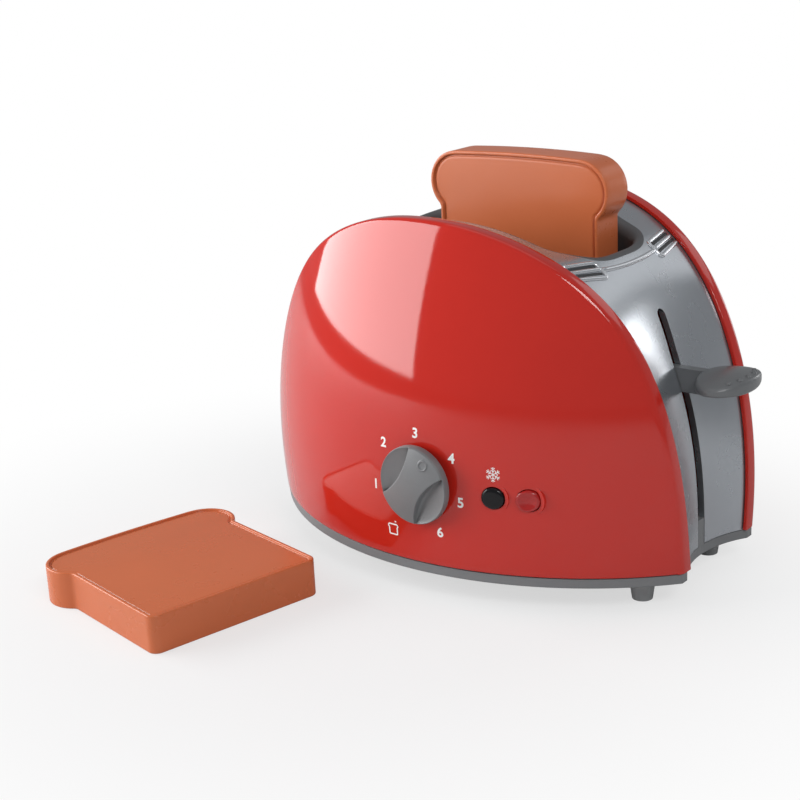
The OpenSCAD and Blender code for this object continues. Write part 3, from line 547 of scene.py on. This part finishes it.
def dress_band():
    """The slot's roll and skirt take a darker grey, painted shade where the band turns down into the slot,
    and the face outside it the surface's own normals.
    """
    mesh = band.data
    mesh.materials.append(roll_painted_shade)
    co = np.zeros(len(mesh.vertices) * 3)
    mesh.vertices.foreach_get("co", co)
    co = co.reshape(-1, 3) * 1000 - SHIFT
    mid = np.zeros(len(mesh.polygons) * 3)
    mesh.polygons.foreach_get("center", mid)
    mid = mid.reshape(-1, 3) * 1000 - SHIFT
    away = slot_dist(mid[:, 0], mid[:, 1])
    # faces on the roll and skirt get the darker grey, painted shade
    mesh.polygons.foreach_set("material_index", (away < ROLL - 0.1).astype(int))
    ok = (np.abs(co[:, 0]) < DRESS_X) & (slot_dist(co[:, 0], co[:, 1]) > ROLL - 0.02)
    x, y = co[ok, 0], co[ok, 1]
    e = 0.05
    top = band_solve(x, y)[1] + BODY_Z
    dx = band_solve(x + e, y)[1] - band_solve(x - e, y)[1]
    dy = band_solve(x, y + e)[1] - band_solve(x, y - e)[1]
    exact = np.stack([-dx, -dy, np.full(len(x), 2 * e)], 1)
    exact /= np.linalg.norm(exact, axis=1)[:, None]
    near = np.abs(top - co[ok, 2]) * exact[:, 2] < 0.03
    normal = np.zeros((len(co), 3))
    normal[np.flatnonzero(ok)[near]] = exact[near]
    corner = np.zeros(len(mesh.loops) * 3)
    mesh.corner_normals.foreach_get("vector", corner)
    corner = corner.reshape(-1, 3)
    at = np.zeros(len(mesh.loops), int)
    mesh.loops.foreach_get("vertex_index", at)
    want = normal[at]
    use = (want * corner).sum(1) > 0.9
    corner[use] = want[use]
    mesh.normals_split_custom_set(corner.tolist())
    mesh.update()


dress_band()


def band_z(x, y):
    return float(band_solve(np.array([x]), np.array([y]))[1][0]) + BODY_Z


def ridge(path, width, height):
    """A half-round rib on the band, along a path of (x, y) points, with rounded ends."""
    sink, root = 0.05, 0.5
    path = np.asarray(path, float)
    length = np.concatenate([[0], np.cumsum(np.linalg.norm(np.diff(path, axis=0), axis=1))])
    rows = []
    for i, (x, y) in enumerate(path):
        e = 0.2
        p = np.array([x, y, band_z(x, y)])
        dx = np.array([2 * e, 0, band_z(x + e, y) - band_z(x - e, y)])
        dy = np.array([0, 2 * e, band_z(x, y + e) - band_z(x, y - e)])
        nrm = np.cross(dx, dy)
        nrm /= np.linalg.norm(nrm)
        a, b = path[max(0, i - 1)], path[min(len(path) - 1, i + 1)]
        tan = np.array([*(b - a), 0.0])
        tan -= nrm * tan.dot(nrm)
        tan /= np.linalg.norm(tan)
        side = np.cross(nrm, tan)
        r = width / 2
        near = min(length[i], length[-1] - length[i])
        k = 1.0 if near > r else math.sqrt(max(0.0, 1 - (1 - near / r) ** 2))
        k = max(k, 0.02)
        ang = np.linspace(0, np.pi, 9)
        ring = [p + side * r * k * math.cos(q) + nrm * (height * k * math.sin(q) - sink) for q in ang]
        ring += [p - side * r * k - nrm * root, p + side * r * k - nrm * root]
        rows.append(ring)
    return loft(rows, caps=(True, True))


def line(x0, y0, x1, y1, n):
    """n points from one place to another, closer together at both ends."""
    u = np.linspace(0, 1, n)
    u = (1 - np.cos(u * np.pi)) / 2
    return [(x0 + (x1 - x0) * k, y0 + (y1 - y0) * k) for k in u]


RIDGE_X, RIDGE_HALF, RIDGE_BOW, RIDGE_W = 55.1, 17.0, 0.9, 1.9
RIB_OUT, RIB_PITCH, RIB_LEAN, RIB_W, RIB_H = 33.2, 2.7, 8.5, 1.7, 0.8
# width and height of the dark strips between the ribs, painted shade
GROOVE_SHADE_W, GROOVE_SHADE_H = 1.4, 0.12


def rib_group(sx, sy):
    """Three leaning ribs in one corner, the outer two joined round their foot, and dark strips between them,
    painted shade in the grooves.
    """
    x0, y0 = RIDGE_X - RIDGE_BOW - 0.4, RIDGE_HALF + 0.65
    lean = math.tan(math.radians(RIB_LEAN))
    tip = [(x0 + k * RIB_PITCH - lean * (RIB_OUT - y0), RIB_OUT) for k in (-1, 0, 1)]
    bend = [(x0 - RIB_PITCH, y0 + 1.2), (x0 - RIB_PITCH + 0.35, y0 + 0.35), (x0 - RIB_PITCH + 1.2, y0)]
    back = [(2 * x0 - x, y) for x, y in bend[::-1]]
    bar = line(*tip[0], *bend[0], 15) + bend[1:] + back[:-1] + line(*back[-1], *tip[2], 15)
    middle = line(x0, y0, *tip[1], 17)
    ribs = [ridge([(sx * x, sy * y) for x, y in path], RIB_W, RIB_H) for path in (bar, middle)]
    groove_shades = []
    for k in (-0.5, 0.5):
        a = (x0 + k * RIB_PITCH - lean * 0.5, y0 + 0.7)
        b = (x0 + k * RIB_PITCH - lean * (RIB_OUT - y0), RIB_OUT)
        groove_shades.append(ridge([(sx * x, sy * y) for x, y in line(*a, *b, 13)], GROOVE_SHADE_W, GROOVE_SHADE_H))
    return ribs, groove_shades


def ornament():
    ribs, groove_shades = [], []
    for sx in (-1, 1):
        ys = np.linspace(-RIDGE_HALF - 0.6, RIDGE_HALF + 0.6, 31)
        cross = [(sx * (RIDGE_X - RIDGE_BOW * (y / RIDGE_HALF) ** 2), y) for y in ys]
        ribs.append(ridge(cross, RIDGE_W, RIB_H))
        for sy in (-1, 1):
            more_ribs, more_groove_shades = rib_group(sx, sy)
            ribs += more_ribs
            groove_shades += more_groove_shades
    return ribs, groove_shades


ribs, groove_shades = ornament()
# the dark strips between the ribs are painted shade
make("band_groove_shade", *join_parts(groove_shades), painted_groove_shade, "body")
# the ribs' brighter silver is a painted highlight
make("band_ribs", *join_parts(ribs), rib_highlight, "body")
BOSS_X, BOSS_Z, BOSS_R, ROD_BORE, BOSS_H = 56, 93, 4.2, 2.05, 10.8
BAND_POST_X, BAND_POST_Y = 73, 12
inner = [tube((s * BOSS_X, 0, BOSS_Z), (0, 0, 1), BOSS_R, ROD_BORE, BOSS_H) for s in (-1, 1)]
inner += [screw_post(s * BAND_POST_X, q * BAND_POST_Y) for s in (-1, 1) for q in (-1, 1)]
make("band_fixings", *join_parts(inner), silver, "body")


# ---------------------------------------------------------------- play slices
BREAD = dict(w=68.6, head=77.0, r=11.5, h=73.6, crown=0.8, foot=3.5, t=13.8)
NECK_EASE, NECK_TURN = 1.3, 7  # mm below the neck's corner and degrees above it over which it is eased


def bread_loop(d, n=420):
    """The slice's outline moved inwards by d, evenly spaced from the foot's middle."""
    b = BREAD
    hx, fx = b["head"] / 2 - b["r"], b["w"] / 2 - b["foot"]
    hz = b["h"] - b["crown"] - b["r"]
    pts = [(0.0, d)]
    for a in np.radians(np.linspace(-90, 0, 9)):
        pts.append((fx + (b["foot"] - d) * math.cos(a), b["foot"] + (b["foot"] - d) * math.sin(a)))
    # the head's arc runs in to the side at the neck, whose corner is slightly eased
    side, r = b["w"] / 2 - d, b["r"] - d
    a0 = -math.acos((side - hx) / r)
    neck = np.array([side, hz + r * math.sin(a0)])
    a1 = a0 + math.radians(NECK_TURN)
    head0 = (hx + r * math.cos(a1), hz + r * math.sin(a1))
    pts.append((side, neck[1] - NECK_EASE))
    pts.extend(tuple(q) for q in curve3(neck - [0, NECK_EASE], neck, np.array(head0), 9))
    for a in np.linspace(a1, math.radians(80), 28)[1:]:
        pts.append((hx + r * math.cos(a), hz + r * math.sin(a)))
    x1 = pts[-1][0]
    for k in np.linspace(1, 0, 16)[1:]:
        pts.append((k * x1, b["h"] - d - b["crown"] * k * k))
    right = np.array(pts)
    loop = np.concatenate([right, (right * [-1, 1])[::-1][1:-1]])
    closed = np.concatenate([loop, loop[:1]])
    step = np.concatenate([[0], np.cumsum(np.linalg.norm(np.diff(closed, axis=0), axis=1))])
    want = np.linspace(0, step[-1], n, endpoint=False)
    return np.stack([np.interp(want, step, closed[:, k]) for k in (0, 1)], 1)


def bread_mesh(place):
    """A slice with a rounded raised rim round a sunk face on each side."""
    t = BREAD["t"]
    # inset and height of the section, from the face's floor over the rim to the edge
    half = [
        (2.9, 0.52), (2.5, 0.55), (2.2, 0.68), (2.0, 0.85), (1.85, 0.95), (1.6, 0.97), (1.42, 0.9),
        (1.34, 0.6), (1.3, 0.3), (1.22, 0.1), (1.08, 0.01), (0.9, 0.0), (0.5, 0.01), (0.28, 0.06),
        (0.12, 0.18), (0.03, 0.36), (0.0, 0.6), (0.0, 3.0),
    ]
    prof = half + [(d, t - h) for d, h in half[::-1]]
    rows = []
    for d, h in prof:
        loop = bread_loop(d)
        rows.append(place(loop[:, 0], loop[:, 1], np.full(len(loop), h)))
    return loft(rows, caps=(True, True))


DECK_Z, SLICE_X, SLICE_Y = 71.9, 4.6, 11.5
make(
    "standing_toast",
    *bread_mesh(lambda u, v, h: np.stack([u + SLICE_X, SLICE_Y - BREAD["t"] / 2 + h, v + DECK_Z], 1)),
    toast, "toast_slice", "toast_slice", sharp=0,
)
SPARE_X, SPARE_Y, SPARE_TURN = -30.9, -115.8, math.radians(78.5)
ca, sa = math.cos(SPARE_TURN), math.sin(SPARE_TURN)
make(
    "lying_toast",
    *bread_mesh(lambda u, v, h: np.stack([SPARE_X + u * ca - v * sa, SPARE_Y + u * sa + v * ca, h], 1)),
    toast, "spare_slice", "spare_slice", sharp=0,
)


# ---------------------------------------------------------------- lever
PADDLE_X, PADDLE_A, PADDLE_B, LEVER_TOP, PADDLE_T, DOME, UNDER = 92.5, 9.4, 15.5, 78.0, 5.6, 55.0, 150.0
# the share of the paddle's outline where its edge starts to round, and the share of thickness left at the rim
EDGE_FROM, EDGE_T = 0.92, 0.25
PIP_R, PIP_H = 0.95, 0.78


def paddle_mesh():
    """An oval plate with a domed top and a slightly rounded underside."""
    n = 96
    a = np.linspace(0, 2 * np.pi, n, endpoint=False)
    rows = []

    def ring(f, side, pinch):
        x, y = PADDLE_A * f * np.cos(a), PADDLE_B * f * np.sin(a)
        high = LEVER_TOP - DOME + np.sqrt(DOME**2 - x * x - y * y)
        low = LEVER_TOP - PADDLE_T + UNDER - np.sqrt(UNDER**2 - x * x - y * y)
        mid, half = (high + low) / 2, (high - low) / 2 * pinch
        rows.append(np.stack([PADDLE_X + x, y, mid + side * half], 1))

    def edge(q, side):
        pinch = EDGE_T + (1 - EDGE_T) * max(0.0, math.cos(q)) ** 0.9
        ring(EDGE_FROM + (1 - EDGE_FROM) * math.sin(q), side, pinch)

    fs = [0.15, 0.4, 0.65, 0.82]
    quarter = np.radians(np.linspace(0, 90, 9))
    for f in fs:
        ring(f, 1, 1)
    for q in quarter:
        edge(q, 1)
    for q in quarter[::-1]:
        edge(q, -1)
    for f in fs[::-1]:
        ring(f, -1, 1)
    return loft(rows, caps=(True, True))


def dome_bump(x, y, z, r, h):
    rows = []
    n = 20
    a = np.linspace(0, 2 * np.pi, n, endpoint=False)
    for q in np.radians(np.linspace(0, 85, 6)):
        px, py = x + r * math.cos(q) * np.cos(a), y + r * math.cos(q) * np.sin(a)
        rows.append(np.stack([px, py, np.full(n, z + h * math.sin(q))], 1))
    return loft(rows, caps=(True, True))


lever_parts = [paddle_mesh(), box_part(60.7, 86.5, -1.9, 1.9, 69.0, 77.4)]
# five pips along the paddle's outer edge
for deg in range(-48, 49, 24):
    px, py = (PADDLE_A - 2.2) * math.cos(math.radians(deg)), (PADDLE_B - 3) * math.sin(math.radians(deg))
    drop = DOME - math.sqrt(DOME**2 - px * px - py * py)
    lever_parts.append(dome_bump(PADDLE_X + px, py, LEVER_TOP - drop - 0.1, PIP_R, PIP_H))
make("lever_paddle", *join_parts(lever_parts), lever_grey, "carriage", "lever")

# ---------------------------------------------------------------- dial and buttons
DIAL_R, DIAL_H, DIAL_DOME, SCOOP_FLOOR, SCOOP_RIM, SCOOP_R = 13.9, 5.2, 49.0, 1.9, 2.85, 24.0
WAIST, GRIP_TURN, MARK_R, MARK_RING, MARK_WIRE = 10.6, 34.0, 10.4, 1.6, 0.38
DIAL_BACK = -float(wall_y(0.0, DIAL[1] - BODY_Z)) - 0.3


def grip_radius(a, inset):
    """The grip's outline in polar form: the disc, less a round scoop on each side."""
    c = WAIST / 2 + SCOOP_R
    cu = c * np.abs(np.cos(a))
    q = cu * cu - (c * c - (SCOOP_R + inset) ** 2)
    hit = np.where(q > 0, cu - np.sqrt(np.maximum(q, 0)), 99)
    disc = DIAL_R - 0.3 - inset
    k = 0.3
    m = np.clip(0.5 + 0.5 * (hit - disc) / k, 0, 1)
    return hit * (1 - m) + disc * m - k * m * (1 - m)


def dial_dome(r):
    return DIAL_H - DIAL_DOME + np.sqrt(DIAL_DOME**2 - r * r)


def dial_disc():
    """The dial's rim, its two finger scoops and the grip that they leave."""
    n = 360
    a = np.linspace(0, 2 * np.pi, n, endpoint=False)
    turn = math.radians(GRIP_TURN)
    ca, sa = np.cos(a - turn), np.sin(a - turn)

    def ring(r, h):
        return np.stack([DIAL[0] + r * ca, DIAL_BACK - h * np.ones(n), DIAL[1] + r * sa], 1)

    one = np.ones(n)
    g = grip_radius(a, 0.0)
    # 1 where a finger scoop is cut, 0 across the ends of the grip
    cutaway = fade((DIAL_R - 0.42 - g) / 0.5)
    rim = SCOOP_RIM * cutaway + (dial_dome(DIAL_R) - 0.15) * (1 - cutaway)
    rows = [ring(SHAFT_R * one, 0)]
    for d, h in ((0.4, 0), (0.1, 0.12), (0, 0.4), (0, rim - 0.3), (0.08, rim - 0.1), (0.25, rim)):
        rows.append(ring((DIAL_R - d) * one, h))
    lip, sink = DIAL_R - 0.3, 0.12
    foot = np.minimum(g + 1.1, lip - 0.01)
    for u in (0.06, 0.15, 0.35, 0.6, 0.85, 1.0):
        r = lip + (foot - lip) * u
        low = SCOOP_FLOOR - sink + (rim - SCOOP_FLOOR) * (1 - u) ** 1.6
        rows.append(ring(r, low * cutaway + dial_dome(r) * (1 - cutaway)))
    for d, h in ((0.6, 0.1), (0.25, 0.4), (0.06, 0.85)):
        r = np.minimum(g + d, lip - 0.02)
        low = np.minimum(SCOOP_FLOOR - sink + h, dial_dome(r) - 0.3)
        rows.append(ring(r, low * cutaway + dial_dome(r) * (1 - cutaway)))
    for d, h in ((0, 0.45), (0.04, 0.22), (0.14, 0.08), (0.32, 0.01), (0.6, 0)):
        r = np.minimum(g - d, lip - 0.03 - d)
        rows.append(ring(r, dial_dome(r) - h * cutaway))
    for k in (0.8, 0.6, 0.4, 0.2):
        r = (g - 0.6) * k
        rows.append(ring(r, dial_dome(r)))
    return loft(rows, caps=(True, True))


def dial_mark():
    """The raised ring at the end of the grip."""
    ct, st = math.cos(math.radians(GRIP_TURN)), math.sin(math.radians(GRIP_TURN))
    q = np.linspace(0, 2 * np.pi, 49)
    r = MARK_RING + MARK_WIRE * np.cos(q)
    rows = []
    for b in np.linspace(0, 2 * np.pi, 41):
        u, v = r * math.cos(b), MARK_R + r * math.sin(b)
        x, z = u * ct + v * st, -u * st + v * ct
        y = DIAL_BACK - dial_dome(np.hypot(x, z)) - 0.3 * np.sin(q)
        rows.append(np.stack([DIAL[0] + x, y, DIAL[1] + z], 1))
    return loft(rows)


shaft = tube((DIAL[0], DIAL_BACK, DIAL[1]), (0, 1, 0), SHAFT_R, 0, SHAFT_LEN)
make("dial_knob", *join_parts([dial_disc(), shaft, dial_mark()]), dial_grey, "dial", "dial")


CAP_DEPTH, STEM_R, STOP_STEM_Y, DEFROST_STEM = 5, 1.6, -31.8, 16


def cap_mesh(x, profile):
    """A button's cap whose face follows the panel; profile gives radius and height over it."""
    n = 64
    a = np.linspace(0, 2 * np.pi, n, endpoint=False)
    rows = []
    back = np.full(n, front_y(x, BUTTON_Z) + CAP_DEPTH)
    rows.append(np.stack([x + BUTTON_R * np.cos(a), back, BUTTON_Z + BUTTON_R * np.sin(a)], 1))
    for r, h in profile:
        px, pz = x + r * np.cos(a), BUTTON_Z + r * np.sin(a)
        rows.append(np.stack([px, -wall_y(px, pz - BODY_Z) - h, pz], 1))
    return loft(rows, caps=(True, True))


# the red button is hollowed and the black one domed: radius, and height over the panel
STOP_FACE = [
    (3.75, 0.5), (3.7, 0.8), (3.55, 1.02), (3.3, 1.15), (3.0, 1.13), (2.7, 1.02), (2.0, 0.75), (1.0, 0.5),
    (0.2, 0.43),
]
DEFROST_FACE = [(3.75, 0.3), (3.7, 0.55), (3.5, 0.8), (3.1, 0.98), (2.4, 1.1), (1.5, 1.17), (0.3, 1.2)]


def stem(x, far):
    """The rod behind a cap, as far as y = far."""
    y = front_y(x, BUTTON_Z) + CAP_DEPTH
    return tube((x, y, BUTTON_Z), (0, 1, 0), STEM_R, 0, far - y)


stop_parts = [cap_mesh(STOP_X, STOP_FACE), stem(STOP_X, STOP_STEM_Y)]
defrost_stem_y = front_y(DEFROST_X, BUTTON_Z) + DEFROST_STEM
defrost_parts = [cap_mesh(DEFROST_X, DEFROST_FACE), stem(DEFROST_X, defrost_stem_y)]
make("stop_cap", *join_parts(stop_parts), red_cap, "stop_button", "stop_button")
make("defrost_cap", *join_parts(defrost_parts), black_cap, "defrost_button", "defrost_button")


# ---------------------------------------------------------------- printed marks
PRINT_LIFT = 0.04


def on_wall(x, z):
    """A matrix whose X and Y lie on the front wall at (x, z)."""
    e = 0.3
    p = np.array([x, front_y(x, z), z])
    dx = np.array([2 * e, front_y(x + e, z) - front_y(x - e, z), 0])
    dz = np.array([0, front_y(x, z + e) - front_y(x, z - e), 2 * e])
    dx /= np.linalg.norm(dx)
    n = np.cross(dx, dz)
    n /= np.linalg.norm(n)
    dz = np.cross(n, dx)
    p = (p + n * PRINT_LIFT + SHIFT) / 1000
    rows = [(dx[i], dz[i], n[i], p[i]) for i in range(3)]
    return Matrix((*rows, (0, 0, 0, 1)))


NUMBER_SIZE, NUMBER_BOLD = 4.9, 0.13
NUMBER_PLACES = ((-9.1, 39.4), (-5.1, 55.3), (8.5, 60.7), (22.7, 53.7), (25.9, 38.4), (17.6, 26.3))
FLAKE_AT, FLAKE_R = (37.3, 49.8), 2.6
BREAD_MARK_AT, BREAD_MARK_SCALE = (-2.2, 23.8), 1.15


def number(text, x, z, name):
    curve = bpy.data.curves.new(name, "FONT")
    curve.body, curve.size, curve.offset = text, NUMBER_SIZE / 1000, NUMBER_BOLD / 1000
    curve.align_x, curve.align_y = "CENTER", "CENTER"
    obj = add_object(name, curve)
    bpy.context.view_layer.update()
    mesh = bpy.data.meshes.new_from_object(obj.evaluated_get(bpy.context.evaluated_depsgraph_get()))
    bpy.data.objects.remove(obj)
    mesh.transform(on_wall(x, z))
    mesh.materials.clear()
    mesh.materials.append(print_white)
    piece = add_object(name, mesh)
    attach(piece, "body")


for k, (x, z) in enumerate(NUMBER_PLACES):
    number(str(k + 1), x, z, f"number_{k + 1}")


def strokes(name, x, z, lines, width):
    """Thin printed strokes on the front wall, each from one point to another, in mm."""
    parts = []
    for x0, z0, x1, z1 in lines:
        d = np.array([x1 - x0, z1 - z0])
        n = np.array([-d[1], d[0]]) / np.linalg.norm(d) * width / 2
        q = [(x0 + n[0], z0 + n[1]), (x0 - n[0], z0 - n[1]), (x1 - n[0], z1 - n[1]), (x1 + n[0], z1 + n[1])]
        parts.append(([(a, b, 0) for a, b in q], [(0, 1, 2, 3)]))
    v, f = join_parts(parts)
    m = on_wall(x, z)
    mesh = bpy.data.meshes.new(name)
    mesh.from_pydata([list(m @ Vector((a / 1000, b / 1000, 0))) for a, b, _ in v], [], [list(q) for q in f])
    mesh.materials.append(print_white)
    obj = add_object(name, mesh)
    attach(obj, "body")


def direction(deg):
    return np.array([math.cos(math.radians(deg)), math.sin(math.radians(deg))])


def snowflake():
    """Six arms with two pairs of side strokes each."""
    lines = []
    for deg in range(30, 390, 60):
        arm = direction(deg)
        lines.append((0, 0, *(FLAKE_R * arm)))
        for side in (-1, 1):
            for at, long in ((1.0, 0.9), (1.8, 0.85)):
                lines.append((*(at * arm), *(at * arm + long * direction(deg + 50 * side))))
    return lines


def bread_mark():
    """A slice's outline, with a dot over it."""
    half = [(1.5, -1.6), (1.5, 0.6), (1.9, 1.1), (1.5, 1.7)]
    loop = half + [(-u, v) for u, v in half[::-1]]
    loop = [(BREAD_MARK_SCALE * u, BREAD_MARK_SCALE * v) for u, v in loop[-1:] + loop]
    return [(*a, *b) for a, b in zip(loop, loop[1:])] + [(0.9, 3.1, 1.5, 3.1)]


strokes("snowflake", *FLAKE_AT, snowflake(), 0.25)
strokes("bread_mark", *BREAD_MARK_AT, bread_mark(), 0.5)

# ---------------------------------------------------------------- floor, lights and camera
FLOOR_HALF = 4  # metres
SHADOW_IN, SHADOW_OUT = 0.08, 0.26  # metres from the middle over which the floor fades to white
SHADOW_MIX = 0.62  # how much of the white is already there at the middle
SKY = 0.32
# the camera that was fitted to the photograph: focal length and width in its pixels, its axes, the point
# that it looks at, in mm from the toaster's middle, and its distance from that, in metres
FOCAL_PX, PHOTO_PX, SENSOR = 1596.65, 800, 36
CAM_RIGHT = Vector((0.78112, 0.62253, -0.04795))
CAM_BACK = Vector((0.60555, -0.73663, 0.30114))
CAM_AT, CAM_FAR = (-50.307, 0, 45.37), 0.63064


def floor_material():
    """Pale and dull. Seen by the camera, it turns to plain white away from the toaster's shadow."""
    m = bpy.data.materials.new("floor")
    m.use_nodes = True
    nodes, links = m.node_tree.nodes, m.node_tree.links
    bsdf = nodes["Principled BSDF"]
    bsdf.inputs["Base Color"].default_value = (0.74, 0.74, 0.74, 1)
    bsdf.inputs["Roughness"].default_value = 0.7
    bsdf.inputs["Specular IOR Level"].default_value = 0.1
    glow = nodes.new("ShaderNodeEmission")
    glow.inputs["Strength"].default_value = 1.0
    path = nodes.new("ShaderNodeLightPath")
    coord = nodes.new("ShaderNodeTexCoord")
    middle = nodes.new("ShaderNodeMapping")
    middle.inputs["Location"].default_value = (0.02, 0.02, 0)
    links.new(coord.outputs["Object"], middle.inputs["Vector"])
    reach = nodes.new("ShaderNodeVectorMath")
    reach.operation = "LENGTH"
    links.new(middle.outputs["Vector"], reach.inputs[0])
    away = nodes.new("ShaderNodeMapRange")
    away.interpolation_type = "SMOOTHSTEP"
    away.inputs["From Min"].default_value = SHADOW_IN
    away.inputs["From Max"].default_value = SHADOW_OUT
    away.inputs["To Min"].default_value = SHADOW_MIX
    away.inputs["To Max"].default_value = 1.0
    links.new(reach.outputs["Value"], away.inputs["Value"])
    seen = nodes.new("ShaderNodeMath")
    seen.operation = "MULTIPLY"
    links.new(path.outputs["Is Camera Ray"], seen.inputs[0])
    links.new(away.outputs["Result"], seen.inputs[1])
    blend = nodes.new("ShaderNodeMixShader")
    links.new(seen.outputs[0], blend.inputs[0])
    links.new(bsdf.outputs[0], blend.inputs[1])
    links.new(glow.outputs[0], blend.inputs[2])
    links.new(blend.outputs[0], nodes["Material Output"].inputs["Surface"])
    return m


def lay_floor():
    h = FLOOR_HALF
    mesh = bpy.data.meshes.new("floor")
    mesh.from_pydata([(-h, -h, 0), (h, -h, 0), (h, h, 0), (-h, h, 0)], [], [(0, 1, 2, 3)])
    mesh.materials.append(floor_material())
    floor = add_object("floor", mesh)


def light_world():
    """A dim sky for light and reflections, and a light grey one where the camera sees past the floor."""
    world = bpy.data.worlds.new("world")
    bpy.context.scene.world = world
    world.use_nodes = True
    nodes, links = world.node_tree.nodes, world.node_tree.links
    sky = nodes["Background"]
    sky.inputs["Color"].default_value = (0.9, 0.92, 0.95, 1)
    sky.inputs["Strength"].default_value = SKY
    pale = nodes.new("ShaderNodeBackground")
    pale.inputs["Strength"].default_value = 1.0
    path = nodes.new("ShaderNodeLightPath")
    blend = nodes.new("ShaderNodeMixShader")
    links.new(path.outputs["Is Camera Ray"], blend.inputs[0])
    links.new(sky.outputs[0], blend.inputs[1])
    links.new(pale.outputs[0], blend.inputs[2])
    links.new(blend.outputs[0], nodes["World Output"].inputs["Surface"])


def area(name, at, to, size, power):
    data = bpy.data.lights.new(name, "AREA")
    data.shape, data.size, data.size_y = "RECTANGLE", size[0], size[1]
    data.energy = power
    obj = add_object(name, data)
    obj.location = at
    obj.rotation_euler = (Vector(to) - Vector(at)).to_track_quat("-Z", "Y").to_euler()


def place_camera():
    data = bpy.data.cameras.new("camera")
    data.sensor_width = SENSOR
    data.lens = FOCAL_PX / PHOTO_PX * SENSOR
    backward = CAM_BACK.normalized()
    up = backward.cross(CAM_RIGHT.normalized()).normalized()
    right = up.cross(backward)
    place = (Vector(CAM_AT) + Vector(SHIFT)) / 1000 + backward * CAM_FAR
    cam = add_object("camera", data)
    cam.matrix_world = Matrix((*((right[i], up[i], backward[i], place[i]) for i in range(3)), (0, 0, 0, 1)))
    bpy.context.scene.camera = cam


lay_floor()
light_world()
# a broad upright softbox at the front left, two small lamps behind, one overhead, one high at the front right
area("key", (-0.9, -0.52, 0.44), (0, 0, 0.44), (1.2, 0.72), 17.0)
area("back", (0.33, 1.12, 0.21), (0.03, 0, 0.1), (0.34, 0.3), 1.1)
area("high", (0.33, 1.0, 0.66), (0.03, 0, 0.1), (0.45, 0.3), 0.35)
area("top", (0.0, 0.1, 1.0), (0, 0, 0.1), (0.8, 0.6), 0.8)
area("side", (0.744, -0.396, 0.767), (0, 0, 0.06), (0.5, 0.28), 4.2)
place_camera()
bpy.context.scene.view_settings.view_transform = "Standard"
